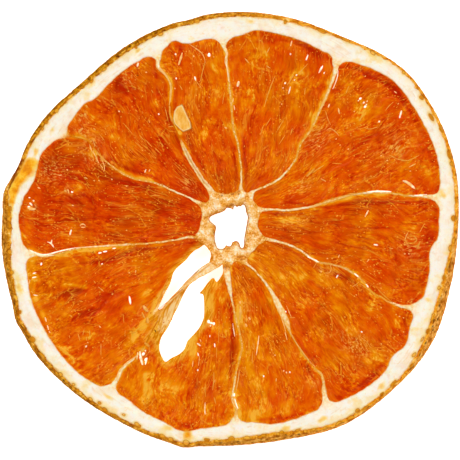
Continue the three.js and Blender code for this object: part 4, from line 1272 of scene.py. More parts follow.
# %% Pulp relief
def pulp_fields(index, plan, seed):
    """Relief and finish numbers of one face of a segment's pulp."""
    x, y = plan.T
    u, v, across, along, sides, to_wall, to_core = segment_flow(index, plan, seed)
    to_edge = np.minimum(np.minimum(np.minimum(*sides), to_wall), to_core)
    broad, relief, relief_shade_and_tone = skin_relief(x, y, across, along, seed)
    sag = PULP_SAG * np.sin(np.pi * u)**0.7 * np.sin(np.pi * (0.1 + 0.8 * v))
    cling = 0.1 * np.exp(-((to_edge - 0.5) / 0.35)**2)
    calm = soft_step(to_edge, 0.0, 0.9)
    grain = np.clip(blobs(plan, [(*spot, 1.0) for spot in CRYSTALS_AND_SHEEN]), 0, 1)
    crease = near_lines(plan, CREASES)
    level = -sag + cling + relief * (0.25 + 0.75 * calm) + 0.05 * grain * ripples(x, y, 0.45, seed + 11)
    level += 0.13 * crease * calm

    patches = ripples(x, y, 3.0, seed + 12, octaves=3)
    # Partly the colour of thick and thin skin, partly painted shade and light: deeper red down in creases
    # and hollows, more amber on crests.
    tone = SEGMENT_TONES[index] + blobs(plan, ZONES) + 1.15 * crease
    tone += 1.4 * relief_shade_and_tone + 0.4 * broad
    tone += 0.5 * patches + 0.3 * patches**2 + 0.9 * np.exp(-(to_edge / 0.2)**2) * (v > 0.3)
    tone += band_tone(index, polar(plan)[0], sides, seed)
    if index in MARGINS:
        width, strength = MARGINS[index]
        band = soft_step(to_wall, 0.15, 0.35) * (1 - soft_step(to_wall, width, width + 0.35))
        tone += strength * band
        level -= 0.1 * band
    # Each segment's flow starts far from the others', so that no two have the same sacs
    flow = np.column_stack([across + 40 * index, along, np.full(len(u), seed)])
    return level, {"tone": tone, "flow": flow, "grain": grain}


sample_level, _ = pulp_fields(0, from_polar(np.full(5, 18.0), np.linspace(84, 96, 5)), 60)
print("relief in the middle of a segment:", sample_level.round(2), "mm")

# %% [markdown]
# Where pulp has torn away, the skin left at the tear's edge is as thin as paper, so both faces
# draw together there. The tear is cut out of the net, and the film beside it is painted paler as
# painted light, for the light that would pass through it.

# %% Pulp segments
TEAR_TAPER = 1.5  # mm over which the pulp thins out towards a tear
FILM = 0.12  # thickness of the dried skin at a tear's edge

pulp_names = [f"pulp_{index + 1:02d}" for index in range(len(ORDER))]


def make_pulp(index):
    name = pulp_names[index]
    outline = cell_outline(index, PULP_TUCK, PULP_SPACING)
    loops = [outline]
    tear = evenly(tears[index], PULP_SPACING) if index in tears else None
    if tear is not None:
        loops.append(tear)

    def in_pulp(points):
        u, v = cell_numbers(index, points, PULP_TUCK)
        keep = (u > 0) & (u < 1) & (v > 0) & (v < 1)
        if tear is not None:
            keep &= ~is_within(points, tear)
        return keep

    plan, net = fill_net(loops, in_pulp, PULP_SPACING, 50 + index)
    upper, lower = face_levels(plan)
    top_level, fields = pulp_fields(index, plan, 60 + index)
    bottom_level, lower_fields = pulp_fields(index, plan, 80 + index)
    top = upper - PULP_DROP + top_level
    bottom = lower + PULP_DROP - bottom_level
    thin = np.zeros(len(plan))
    if tear is not None:
        to_tear = nearest(tear, plan)[1]
        thin = 1 - soft_step(to_tear, 0, TEAR_TAPER)
        middle = 0.6 * top + 0.4 * bottom
        top = top * (1 - thin) + (middle + FILM / 2) * thin
        bottom = bottom * (1 - thin) + (middle - FILM / 2) * thin
    bottom = np.minimum(bottom, top - FILM)
    top_points, bottom_points = np.column_stack([plan, top]), np.column_stack([plan, bottom])
    points, faces = two_skins(plan, net, top_points, bottom_points,
                              lambda edge: [(top_points[edge] + bottom_points[edge]) / 2])
    edge = np.unique(open_edges(net))
    fields["thin"] = lower_fields["thin"] = np.clip(thin + blobs(plan, FILMS), 0, 2)
    attributes = {
        key: np.concatenate([fields[key], lower_fields[key], fields[key][edge]]) for key in fields}
    return make_piece(name, points, faces, attributes, [name])


segments = [make_pulp(index) for index in range(len(ORDER))]
print("segments of pulp:", len(segments))

# %% [markdown]
# ## Sac ends and beads of dried juice
#
# Up close the pulp glitters. The ends of broken sacs and beads of syrup have dried on it as
# hard little ridges, most of them less than half a millimetre wide and lying along the sacs.
# They are strewn as low domes, each turned and tilted to fit the surface below it, and joined
# into one mesh. `drop_on` finds that surface by looking straight down at it.
#
# Blender could scatter such beads with geometry nodes as instances. Real copies in one mesh are
# chosen because they go into any export as they are.

# %% Finding the surface
def shell_tree(names):
    points, triangles, start = [], [], 0
    for name in names:
        points.append(shells[name][0])
        triangles.append(shells[name][1] + start)
        start += len(shells[name][0])
    return BVHTree.FromPolygons(np.vstack(points).tolist(), np.vstack(triangles).tolist())


LOWEST = 1.2  # mm: what lies deeper is not the upper face
ABOVE = 9.0  # mm: a height above everything


def drop_on(tree, places):
    """The height and the normal of the surface below each place, and whether there is one."""
    heights, normals = np.zeros(len(places)), np.tile([0.0, 0.0, 1.0], (len(places), 1))
    found = np.zeros(len(places), bool)
    for i, (x, y) in enumerate(places):
        spot, normal, _, _ = tree.ray_cast(Vector((x, y, ABOVE)), Vector((0, 0, -1)))
        if spot is not None and spot.z > LOWEST:
            heights[i], normals[i], found[i] = spot.z, normal, True
    return heights, normals, found


pulp_tree = shell_tree(pulp_names)
print("height of the pulp at one place:", drop_on(pulp_tree, [(15.0, 10.0)])[0].round(2), "mm")

# %% Domes
DOME_SIDES = 8


def domes(places, heights, normals, turns, lengths, widths, bulges):
    """Low oval domes, one for each place: their points and faces, and which dome a point is on."""
    ring = np.arange(DOME_SIDES) * 2 * np.pi / DOME_SIDES
    circle = np.stack([np.cos(ring), np.sin(ring), 0 * ring], -1)
    unit = np.vstack([circle * 1.0 + (0, 0, -0.4), circle * 0.78 + (0, 0, 0.55), [[0, 0, 1]]])
    side = np.arange(DOME_SIDES)
    nextside = (side + 1) % DOME_SIDES
    top = np.full(DOME_SIDES, 2 * DOME_SIDES)
    faces = np.vstack([
        np.stack([side, nextside, nextside + DOME_SIDES], -1),
        np.stack([side, nextside + DOME_SIDES, side + DOME_SIDES], -1),
        np.stack([side + DOME_SIDES, nextside + DOME_SIDES, top], -1),
        np.stack([nextside[::-1], side[::-1], np.zeros(DOME_SIDES, int)], -1)[1:-1],
    ])
    along = np.column_stack([np.cos(turns), np.sin(turns), np.zeros(len(turns))])
    along -= normals * (along * normals).sum(1)[:, None]
    along /= np.linalg.norm(along, axis=1)[:, None]
    across = np.cross(normals, along)
    middle = np.column_stack([places, heights])
    points = (middle[:, None] + unit[None, :, :1] * (along * lengths[:, None])[:, None]
              + unit[None, :, 1:2] * (across * widths[:, None])[:, None]
              + unit[None, :, 2:] * (normals * bulges[:, None])[:, None])
    count = len(unit)
    all_faces = faces[None] + (np.arange(len(places)) * count)[:, None, None]
    return points.reshape(-1, 3), all_faces.reshape(-1, 3), np.repeat(np.arange(len(places)), count)


one_dome = domes(np.zeros((1, 2)), np.zeros(1), np.array([[0.0, 0.0, 1.0]]), *np.ones((4, 1)))
print("a dome has", len(one_dome[1]), "triangles")

# %% Round drops
# Round beads of syrup: x, y, radius in mm, how pale (near 1, a painted white highlight)
DROPS = [
    (-12.9, -18.6, 0.26, 1), (-12.5, -19.4, 0.28, 1), (-13.3, -19.1, 0.22, 0.97),
    (-12.6, -18.1, 0.15, 0.95), (-3.2, -13.8, 0.28, 1), (-2.4, -14.1, 0.24, 1), (-2.9, -14.4, 0.16, 0.9),
    (19.9, 18.8, 0.16, 0.97), (20.3, 18.5, 0.12, 0.95), (19.1, 19.1, 0.12, 0.95), (9.9, 22.9, 0.14, 0.97),
    (9.6, 22.2, 0.12, 0.95), (-29.9, 3.3, 0.18, 1), (-29.2, 4.2, 0.14, 0.95), (13.5, -6.3, 0.2, 0.85),
    (-3.1, 25.9, 0.3, 1), (-8.1, 26, 0.17, 0.95), (-5.4, 25.7, 0.15, 0.85), (-2.4, 25.6, 0.1, 0.8),
    (-4.3, 25.2, 0.12, 0.75), (-8, 22.4, 0.15, 0.97), (-8.2, 20.9, 0.12, 0.85), (-12.5, 24.6, 0.13, 0.75),
    (-13.7, 22.85, 0.12, 0), (-10.6, 17.1, 0.15, 0.97), (-11.8, 16.9, 0.09, 0.75), (-16.5, 17.5, 0.13, 0.9),
    (-16, 17.4, 0.08, 0.75), (-15.1, 20.5, 0.1, 0.75), (-5.6, 17.1, 0.12, 0.75), (-3.1, 16.1, 0.1, 0.75),
    (-24.2, 8.8, 0.14, 0.85), (-20.2, 7.2, 0.13, 0.8), (-19.5, 7.2, 0.13, 0.8), (-17.6, 7.4, 0.13, 0.85),
    (-15.4, 6.4, 0.14, 0.85), (-23.5, 5.5, 0.16, 1), (-23.4, 3.5, 0.12, 0.9), (-19.8, 5.4, 0.1, 0.7),
    (-19.4, 4.4, 0.1, 0.7), (-28, 8, 0.12, 0.75), (-29.8, 4.65, 0.13, 0.95), (-15.4, -0.2, 0.12, 0.8),
    (-19.1, 3.5, 0.1, 0.75), (-19.05, -5.2, 0.13, 0.97), (-15, -6.5, 0.12, 0.85), (-17.5, -9.7, 0.14, 0.8),
    (-19.4, -9.4, 0.12, 0.75), (-22.6, -11.2, 0.1, 0.75), (-26.1, -8.7, 0.1, 0.7), (-18.9, -16.7, 0.1, 0.8),
    (-17.4, -20.3, 0.12, 0.75), (-4.8, -21, 0.15, 0.97), (-2.9, -21, 0.12, 0.75), (5, -21.9, 0.15, 1),
    (6.2, -18, 0.1, 0.8), (6.7, -18.8, 0.13, 0.85), (6.7, -19.4, 0.1, 0.75), (5.9, -17, 0.09, 0.75),
    (8, -21.1, 0.11, 0.9), (8.4, -21.35, 0.13, 0.9), (8.9, -21.3, 0.14, 0.97), (8.9, -22.1, 0.1, 0.75),
    (6.9, -24.5, 0.1, 0.7), (2.9, -27.9, 0.15, 0.6), (7.7, -12.3, 0.13, 1), (8.3, -12.3, 0.13, 1),
    (18.8, -9.8, 0.12, 0.8), (22.5, -11.7, 0.12, 0.8), (24.7, -12.7, 0.12, 0.8), (25.2, -13, 0.12, 0.85),
    (25.8, -13.2, 0.12, 0.8), (25.8, -15.3, 0.12, 0.8), (19.6, -15.3, 0.14, 1), (17.3, -15.1, 0.14, 0.75),
    (17.1, -13.1, 0.14, 0.75), (22.5, -17.1, 0.12, 0.8), (26, -3.7, 0.12, 0.85), (26.6, -3.7, 0.12, 0.85),
    (14.5, -4.4, 0.12, 0.85), (15.2, -4.4, 0.14, 0.75), (19.4, 19.4, 0.22, 1), (20.4, 19, 0.13, 0.9),
    (20.1, 18.2, 0.22, 1), (18.5, 17.5, 0.12, 0.85), (22.2, 16, 0.16, 0.95), (25, 18.6, 0.14, 0.8),
    (22.5, 10.9, 0.12, 0.85), (23.4, 10.2, 0.12, 0.85), (13.3, 12.3, 0.12, 0.85), (15.8, 13.4, 0.12, 0.85),
    (17.6, 11.9, 0.12, 0.85), (16.4, 12.5, 0.12, 0.8), (26.8, 8.6, 0.12, 0.85), (20.1, 22.7, 0.12, 0.8),
    (24.2, 11.5, 0.1, 0.8), (24.8, 11.6, 0.1, 0.8), (8.2, 21.7, 0.15, 1), (7.9, 21, 0.12, 0.9),
    (9, 26, 0.14, 0.95), (14, 23.2, 0.14, 0.97), (7.7, 18.6, 0.12, 0.85), (-18.5, 14.1, 0.1, 0.75),
    (-18.3, 15.3, 0.1, 0.75), (-16.5, 17.5, 0.1, 0.8), (-16.2, 16.7, 0.1, 0.75), (-24.2, 5.8, 0.1, 0.8),
    (-10.8, 3.8, 0.1, 0.75), (-25.7, -13.5, 0.12, 0.7), (-26.8, -12.2, 0.12, 0.7),
    (-22.5, -12.6, 0.12, 0.7),
]
print("round drops:", len(DROPS))

# %% Beads
BEADS = 1500  # strewn beads, besides the drops
bead_random = np.random.default_rng(31)


def strewn_on_pulp(count):
    spots = bead_random.uniform(-32, 32, (count * 6, 2))
    radius, angle = polar(spots)
    spots = spots[(radius > 5.5) & (radius < wall_radius(angle) - 0.4)]
    crowd = soft_step(ripples(*spots.T, 4.5, 91, octaves=2), 0.0, 0.7)
    return spots[bead_random.random(len(spots)) < 0.06 + 0.94 * crowd][:count]


bead_places = strewn_on_pulp(BEADS)
bead_turns = np.radians(polar(bead_places)[1]) + bead_random.normal(0, 0.3, len(bead_places))
bead_lengths = np.clip(0.11 * np.exp(bead_random.normal(0, 0.4, len(bead_places))), 0.06, 0.3)
bead_widths = np.minimum(bead_random.uniform(0.05, 0.11, len(bead_places)), bead_lengths)
bead_pale_and_glint = 0.25 + 0.5 * bead_random.random(len(bead_places))**1.5
drop = np.array(DROPS)
bead_places = np.vstack([bead_places, drop[:, :2]])
bead_turns = np.r_[bead_turns, np.radians(polar(drop[:, :2])[1])]
bead_lengths = np.r_[bead_lengths, 1.15 * drop[:, 2]]
bead_widths = np.r_[bead_widths, 0.85 * drop[:, 2]]
bead_pale_and_glint = np.r_[bead_pale_and_glint, drop[:, 3]]
heights, normals, found = drop_on(pulp_tree, bead_places)
kept = [values[found] for values in (bead_places, heights, normals, bead_turns, bead_lengths, bead_widths)]
points, faces, number = domes(*kept, bead_widths[found] * 0.7)
make_piece("beads_of_juice", points, faces, {"pale_and_painted_glint": bead_pale_and_glint[found][number]}, pulp_names)

# %% [markdown]
# ## Shreds and fibres
#
# Threads of membrane and flakes of sac skin lie on the pulp. They could be drawn as lines in the
# finish, but real ones stand up and catch the light, so each is a thin tube that follows the
# surface and tapers to both ends. Blender's curve objects with a bevel would give such tubes as
# well, but the tapering and the wavering width are easier to work out point by point.

# %% Shreds below the core
# The clearest shreds, fibres and glints: how pale (0 brown, 0.5 amber, 1 white, where white is a
# painted highlight), half width in mm, then the points of its line
SHREDS = [
    (0.8, 0.26, (-12.9, -11.4), (-12.6, -11.9), (-12.2, -12.3)),
    (0.78, 0.22, (-12.3, -13.2), (-12.2, -14.0)), (0.75, 0.12, (-13.1, -12.4), (-12.7, -13.3)),
    (0.0, 0.12, (-11.2, -15.0), (-11.0, -15.4)), (0.1, 0.06, (-5.9, -7.2), (-5.2, -6.6), (-4.6, -6.1)),
    (0.3, 0.08, (-7, -8.9), (-8.8, -10.4), (-10.7, -12)),
    (0.82, 0.12, (-2.6, -5), (-4.2, -6.2), (-5.8, -7.4), (-7, -8.6)),
    (0.75, 0.08, (-7.2, -8.7), (-8.8, -10.3), (-10.2, -12), (-10.8, -13.6)),
    (0.7, 0.06, (-12.9, -16.5), (-12.2, -15.6), (-11.6, -14.8)),
    (0.65, 0.06, (-13.2, -15.9), (-12.4, -14.7)), (0.75, 0.2, (-12.7, -16.9), (-12, -17.5)),
    (0.95, 0.2, (-13.4, -18.2), (-13.3, -19.2), (-13, -20.2)),
    (1, 0.1, (-12.3, -19.2), (-12.5, -19.7), (-12.6, -20.2)), (0.88, 0.12, (-13.7, -18.3), (-13.85, -19.4)),
    (0.85, 0.1, (-13.9, -18.9), (-15, -19.6), (-15.7, -20.2), (-16.5, -21.1), (-16.8, -22), (-16.7, -22.8)),
    (0.6, 0.12, (-9.3, -7.5), (-9.9, -8.8), (-10.6, -10.6), (-11.2, -12)),
    (1, 0.16, (-15, -10), (-14.9, -10.6), (-14.8, -11.2)), (1, 0.1, (-3, -15.8), (-3, -16.1)),
    (1, 0.1, (-2.3, -17), (-2.25, -17.6)), (0.85, 0.09, (-4.5, -16.4), (-4.3, -16.8)),
    (0.95, 0.12, (-4.9, -17), (-4.4, -17.4)), (0.95, 0.12, (-4.8, -18.4), (-4.7, -18.9)),
    (0.8, 0.07, (-4.5, -18.8), (-4.6, -19.6), (-4.7, -20.4)), (0.85, 0.08, (-5.5, -19.6), (-5.6, -20.5)),
    (0.7, 0.05, (-1.6, -14), (-1.65, -15.5), (-1.7, -17)), (0.7, 0.05, (-2, -17.4), (-2, -19.2)),
    (0.7, 0.07, (-2.4, -21.3), (-2.4, -22.6), (-2.6, -24)), (0.8, 0.06, (-2.2, -22.4), (-2.5, -23.1)),
    (0.9, 0.09, (-3.7, -25.8), (-3.75, -26.7), (-3.7, -27.6)), (0.7, 0.08, (-2.4, -25), (-2.1, -26)),
    (0.6, 0.08, (-3.8, -23.5), (-3.6, -25)), (0.75, 0.1, (-1.7, -23.4), (-1.4, -23.5)),
    (0.5, 0.12, (-0.4, -26.6), (-0.8, -27.4)), (0.97, 0.16, (-3.2, -13.9), (-2.4, -14.1)),
    (0.85, 0.18, (1.5, -10.7), (1.5, -11.1)), (0.8, 0.15, (1.5, -11.5), (1.55, -12.5), (1.45, -13.5)),
    (0.85, 0.18, (2.8, -13.1), (3, -13.5)), (0.85, 0.16, (2.3, -14.1), (2.5, -14.5)),
    (0.55, 0.18, (1.9, -15), (1.95, -15.5)), (0.95, 0.06, (0.4, -14), (0.55, -15), (0.7, -16)),
    (0.45, 0.2, (0.35, -20.1), (0.9, -19.7)), (0.9, 0.08, (4.3, -15.9), (4.15, -17.2), (3.9, -18.8)),
    (0.75, 0.08, (1.1, -6.9), (1.3, -7.5)), (0.7, 0.07, (3.4, -18.2), (3.3, -19.2), (3.3, -20)),
    (0.65, 0.07, (3.4, -17), (3.7, -17.8)), (0.65, 0.07, (2.3, -20.4), (2.2, -21)),
    (0.8, 0.08, (6.9, -22.2), (6.85, -22.7)), (0.7, 0.08, (4.4, -26.2), (4.4, -26.9)),
    (0.65, 0.08, (3, -25.4), (3, -26)), (0.75, 0.06, (7.6, -27), (7.6, -27.4)),
    (0.65, 0.06, (5.6, -20.9), (5.8, -21.6)), (0.8, 0.08, (1.4, -21), (1.3, -22), (1.1, -23), (0.9, -24.2)),
    (1, 0.2, (0.6, -24.4), (0.6, -24.9)), (0.98, 0.12, (0.7, -25.2), (0.9, -26), (1.2, -26.7)),
    (0.85, 0.07, (0.2, -25), (0.3, -25.6), (0.7, -26.4), (1.1, -26.8)),
    (0.85, 0.07, (7, -11.6), (7.6, -12.9), (8, -14.2), (8.3, -15.3)),
    (0.8, 0.07, (8.4, -11.4), (9.1, -13.1)), (0.75, 0.06, (8.9, -13.2), (9.7, -13.2)),
    (0.85, 0.1, (8.2, -15.3), (8.5, -16.5)),
    (0.8, 0.07, (8.7, -14.8), (10, -17.3), (12, -19.9), (12.7, -20.5)),
]
print("shreds so far:", len(SHREDS))

# %% Shreds at the right
SHREDS += [  # to the right of the core, from the lower segments to the upper ones
    (0.97, 0.12, (11.5, -4.1), (12.4, -4.5), (13.2, -4.9)),
    (0.75, 0.07, (13.3, -5), (16, -5.3), (18.3, -6.4)), (0.98, 0.13, (18.5, -6.6), (19.1, -7.1)),
    (0.75, 0.06, (18.2, -8.6), (18.7, -8.3), (19.2, -7.9)),
    (0.7, 0.08, (19.3, -8.1), (20.6, -9), (21.8, -10.1)), (0.95, 0.12, (20.2, -8.2), (20.6, -8.7)),
    (0.55, 0.1, (22, -9), (23, -10), (24, -10.8)), (0.87, 0.1, (24.2, -10.9), (25.2, -11.4), (27.3, -11.4)),
    (0.7, 0.06, (12.9, -5), (12.4, -5.8)),
    (0.8, 0.06, (14.9, -5.3), (15.1, -5.9), (14.9, -6.5), (14.3, -6.6)),
    (0.7, 0.12, (13.2, -6), (13.6, -6.5)), (0.97, 0.1, (16.1, -6.8), (15.8, -7.3)),
    (0.65, 0.16, (15.4, -8.6), (15.6, -8.8)), (0.7, 0.05, (19.5, -16.1), (20.4, -16.8), (20.9, -17.6)),
    (0.7, 0.05, (20, -17.2), (20.6, -18.3)), (0.9, 0.1, (20.6, 2.8), (20.1, 1.8)),
    (0.97, 0.12, (21.4, -2.3), (22, -2.4)), (0.75, 0.06, (22.9, -2.9), (23.2, -2.9)),
    (0.75, 0.06, (23.7, -2.9), (24.3, -2.9)), (0.8, 0.07, (26.6, -0.3), (26.2, -1), (26, -1.7)),
    (0.75, 0.06, (28.9, 0.8), (28.2, -0.5)), (0.75, 0.06, (28.9, -0.9), (28.4, -1.1)),
    (0.7, 0.1, (27.3, -1), (27.9, -1.6), (27.4, -2)), (0.7, 0.1, (28.3, -1.8), (27.8, -2.9)),
    (0.85, 0.07, (16.3, -3.8), (16.1, -4.3)), (0.85, 0.08, (20.7, -4.5), (20.4, -4.9)),
    (0.72, 0.08, (14, 4.2), (16, 4.7), (18, 5.2), (20, 5.45)),
    (1, 0.12, (20.4, 5.5), (22, 5.65), (24, 5.55)), (0.97, 0.11, (27.4, 5), (28.4, 5), (29.3, 5.1)),
    (0.9, 0.22, (25.7, 7.2), (26.5, 6.9), (27.5, 6)), (0.85, 0.1, (16.1, 18), (16.3, 17.1)),
    (0.95, 0.15, (25.5, 17.6), (25.2, 16.5)), (0.9, 0.1, (14.8, 18.6), (14.6, 18.1)),
    (0.9, 0.1, (24.4, 20.5), (24.8, 20.2)), (0.75, 0.07, (17.7, 21.3), (17.2, 20.1)),
    (0.75, 0.07, (19.8, 17.1), (19.2, 16)), (0.75, 0.06, (24.3, 18.9), (23.6, 18.3), (23.1, 17.6)),
    (0.75, 0.06, (14.2, 17.6), (14.6, 16.2), (15, 15.5)),
    (0.8, 0.06, (14.4, 14.6), (14.7, 15), (15.2, 14.9), (15.8, 14.4), (16.2, 13.9)),
    (0.75, 0.06, (20, 15.1), (20.8, 14.8), (22, 15.2)),
    (0.75, 0.07, (23.7, 11), (25, 10.3), (26.5, 10.1), (28.2, 11)),
    (0.75, 0.08, (12.2, 8.3), (13, 8.9), (14, 9.5)), (0.7, 0.06, (15.2, 9.8), (16.7, 9.7)),
    (0.75, 0.15, (11.4, 7.8), (12.6, 9)), (0.8, 0.08, (13.5, 7.5), (14.3, 7.1)),
    (0.85, 0.07, (27.6, 9.7), (26.6, 9.2)),
]
print("shreds so far:", len(SHREDS))

# %% Shreds at the top
SHREDS += [  # above the core, from right to left
    (0.95, 0.07, (15.3, 20.8), (15.8, 22), (16.1, 23.2), (15.9, 24)),
    (0.75, 0.08, (6.7, 22.8), (6.2, 21.6), (5.5, 19.6), (5.1, 18.2)), (0.93, 0.22, (1.3, 22), (1.1, 21.2)),
    (0.93, 0.1, (9, 21.2), (8.7, 20.1)), (0.95, 0.12, (11.6, 25.9), (11.3, 25.1)),
    (0.9, 0.1, (9.2, 28), (9, 27.2)), (0.95, 0.13, (13.8, 24.3), (13.2, 23.2)),
    (0.75, 0.07, (9.5, 22.9), (8.5, 21.4)), (0.75, 0.07, (11.6, 24.6), (10, 22.9)),
    (0.8, 0.08, (2.2, 25.4), (2.8, 24.7)), (0.75, 0.07, (5.9, 27), (5.5, 26.2)),
    (0.8, 0.08, (5.4, 24.3), (5.9, 24)), (0.75, 0.07, (11.2, 21), (11.1, 20)),
    (0.75, 0.06, (6.1, 16.6), (5.3, 15.3)), (0.7, 0.06, (5, 15.5), (4.5, 14)),
    (0.75, 0.06, (8, 16.3), (6.9, 14.4)), (0.75, 0.06, (8.2, 14), (7.3, 12.6)),
    (0.75, 0.06, (9.3, 15), (9, 14)), (0.9, 0.07, (0.5, 19.5), (0.4, 18.8)),
    (0.9, 0.07, (0.6, 18.4), (0.7, 17.7)), (0.55, 0.12, (2.3, 29.1), (3, 28.7)),
    (0.9, 0.1, (-0.9, 27.3), (-0.35, 26.3), (-0.8, 25), (-0.4, 24), (-0.2, 22)),
]
print("shreds so far:", len(SHREDS))

# %% Shreds at the upper left
SHREDS += [  # from the top to the left
    (0.8, 0.08, (-6.1, 27.5), (-5.3, 27), (-4.2, 26.2), (-3.8, 25.5), (-3.7, 24.7)),
    (0.7, 0.08, (-3.7, 24.9), (-4.1, 23.4), (-4.4, 22)),
    (0.85, 0.18, (-7.1, 26.2), (-7.35, 25.3), (-7.65, 24.4)), (1, 0.13, (-5.25, 22.7), (-5.1, 22.1)),
    (0.75, 0.06, (-5, 22), (-4.6, 21.4), (-4.2, 20.9)), (0.75, 0.07, (-7.5, 21.4), (-7.1, 20.7)),
    (0.7, 0.06, (-0.8, 20.4), (-1, 19.5), (-1.1, 18.6)), (0.75, 0.07, (-3.2, 19.7), (-3, 19.5)),
    (0.85, 0.09, (-0.8, 15.1), (-0.4, 15)),
    (0.85, 0.1, (-9, 18.6), (-8.8, 20), (-8.75, 21.2), (-9.1, 22.2), (-9.7, 23), (-10.5, 24)),
    (0.97, 0.16, (-10.6, 24.4), (-10.6, 24)), (0.75, 0.06, (-9.7, 18.2), (-9.4, 17), (-9.2, 16)),
    (0.7, 0.1, (-9.2, 15.2), (-8.4, 15.3)), (0.92, 0.16, (-13.6, 24.7), (-13.8, 24.1)),
    (0.85, 0.1, (-12.6, 23.3), (-12.3, 23.3)), (0.7, 0.16, (-15.6, 23.1), (-15.3, 22.8)),
    (0.7, 0.07, (-11.7, 20.7), (-11.4, 20.2)), (0.75, 0.08, (-12, 16.2), (-12, 15.8)),
    (0.65, 0.06, (-15.8, 15.7), (-15.2, 15), (-14.6, 14.2)), (0.65, 0.06, (-19.5, 14.2), (-18.7, 13.2)),
    (0.6, 0.06, (-14.2, 13), (-13.1, 12)), (0.7, 0.06, (-10.4, 12.9), (-9.9, 12.3)),
    (0.85, 0.07, (-20.4, 11.6), (-19.9, 10.6), (-19.5, 9.8)), (0.8, 0.06, (-20.3, 13.2), (-20.1, 12.2)),
    (0.85, 0.06, (-20.9, 12.6), (-20.5, 11.4)), (0.8, 0.07, (-19.4, 9.7), (-18.9, 9)),
    (0.85, 0.06, (-19, 10.2), (-18.6, 9.2), (-18.8, 8.5)), (0.95, 0.1, (-12.7, 8.4), (-12.5, 8.9)),
    (0.85, 0.08, (-12.1, 8.5), (-11.9, 8.9)), (0.75, 0.2, (-21.6, 17.2), (-21.4, 16.8)),
    (0.75, 0.16, (-21.4, 18.4), (-21.2, 18)), (0.75, 0.16, (-22.4, 16.4), (-22.2, 16)),
    (0.8, 0.18, (-22.5, 14.4), (-21.9, 15)), (0.75, 0.12, (-20.3, 15), (-20, 14.7)),
    (0.7, 0.07, (-15.7, 6.5), (-15.1, 6.4)), (0.7, 0.06, (-11.8, 5), (-10.4, 5)),
    (0.6, 0.14, (-19.9, 19.3), (-19.2, 19)), (0.7, 0.06, (-13.5, 14), (-12.8, 13.2)),
    (0.7, 0.06, (-12.6, 13.3), (-11.6, 12.2)), (0.7, 0.06, (-11.2, 12.1), (-10.3, 11.2)),
]
print("shreds so far:", len(SHREDS))

# %% Shreds at the left
SHREDS += [  # left of the core, down to the tears
    (0.97, 0.17, (-29.8, 3.9), (-29.4, 3.5)), (0.85, 0.2, (-30.1, 3.2), (-29.4, 2.9), (-28.9, 3)),
    (0.85, 0.1, (-28.6, 6.2), (-28.2, 6)), (0.85, 0.08, (-25.5, 7.95), (-25, 8.05)),
    (0.8, 0.1, (-21.7, 7.7), (-21.2, 7.5)), (0.85, 0.1, (-24.1, 5.9), (-24, 5.3)),
    (0.8, 0.14, (-24.7, 5.8), (-24.3, 5.6)),
    (0.85, 0.1, (-22.3, 0.4), (-22.2, 0.7), (-21.8, 0.75), (-21.5, 0.5)),
    (0.85, 0.09, (-22.2, 0.3), (-21.8, 0.2), (-21.5, 0.35)),
    (0.95, 0.14, (-23.6, -0.1), (-23.75, -0.5), (-23.8, -0.9)),
    (0.93, 0.12, (-27.2, -1.9), (-26.6, -2.1), (-26.2, -2.7)), (0.93, 0.1, (-26.5, -1.6), (-26.6, -2.3)),
    (0.7, 0.07, (-26, -2.9), (-25.7, -3.1)), (0.75, 0.1, (-17.5, 1.2), (-17.2, 1.2)),
    (0.9, 0.09, (-15, -2.35), (-20, -2.6), (-23, -2.8)),
    (0.97, 0.12, (-23, -2.8), (-25.5, -3.3), (-27.3, -3.9), (-28.6, -3.7), (-29.8, -3.1)),
    (1, 0.13, (-19.6, -3.6), (-19.1, -3.5)), (1, 0.13, (-18.9, -3.4), (-18.3, -3.3)),
    (1, 0.09, (-17.5, -2.9), (-17, -2.85)), (1, 0.14, (-28, -5), (-28.1, -5.4)),
    (0.97, 0.09, (-29.3, -6.6), (-28.8, -6.5)), (1, 0.11, (-29.4, -7.25), (-28.8, -7.1)),
    (0.85, 0.08, (-29.7, -7.5), (-29.9, -8.2)), (0.95, 0.1, (-29.2, -9.8), (-28.6, -9.9)),
    (0.75, 0.06, (-29.5, -9.2), (-29.3, -9.6)), (0.9, 0.09, (-27.5, -13.1), (-27.3, -13.8)),
    (0.9, 0.09, (-27.15, -14.3), (-26.95, -15)), (0.93, 0.1, (-26.9, -15.2), (-26.75, -15.4)),
    (0.85, 0.12, (-19.5, -14.4), (-19.2, -14.7)), (0.8, 0.06, (-19.6, -8.6), (-18.8, -9.3)),
    (0.75, 0.07, (-20.3, -7.7), (-20, -8.1)), (0.85, 0.08, (-14, -6.1), (-14.1, -6.5)),
    (0.75, 0.06, (-19.2, -17), (-19.2, -18.8)), (0.93, 0.14, (-21.5, -17.6), (-21.3, -17.3)),
    (0.85, 0.08, (-21.2, -16.8), (-21.1, -17)), (0.75, 0.07, (-22.6, -15.6), (-22.3, -16.6)),
    (0.7, 0.07, (-21.7, -14.9), (-21.9, -15.8)), (0.75, 0.08, (-20.9, -15.1), (-20.85, -15.9)),
    (0.7, 0.07, (-21.4, -16), (-21.3, -16.6)), (0.75, 0.07, (-23.9, -15.8), (-23.8, -16.2)),
    (0.7, 0.06, (-15.6, -15), (-15.65, -16)), (0.65, 0.06, (-15.9, -12.6), (-15.8, -14)),
    (0.75, 0.12, (-23.8, -12.8), (-23.5, -13.1)), (0.7, 0.06, (-21.4, -9.5), (-21.6, -10.1)),
    (0.7, 0.07, (-22.5, -10.7), (-21.9, -10.8)),
]
print("shreds:", len(SHREDS))

# %% Lines of the tubes
TUBE = np.array([(1, 0), (0.6, 0.75), (-0.6, 0.75), (-1, 0), (-0.6, -0.9), (0.6, -0.9)])
TUBE_SPACING = 0.13


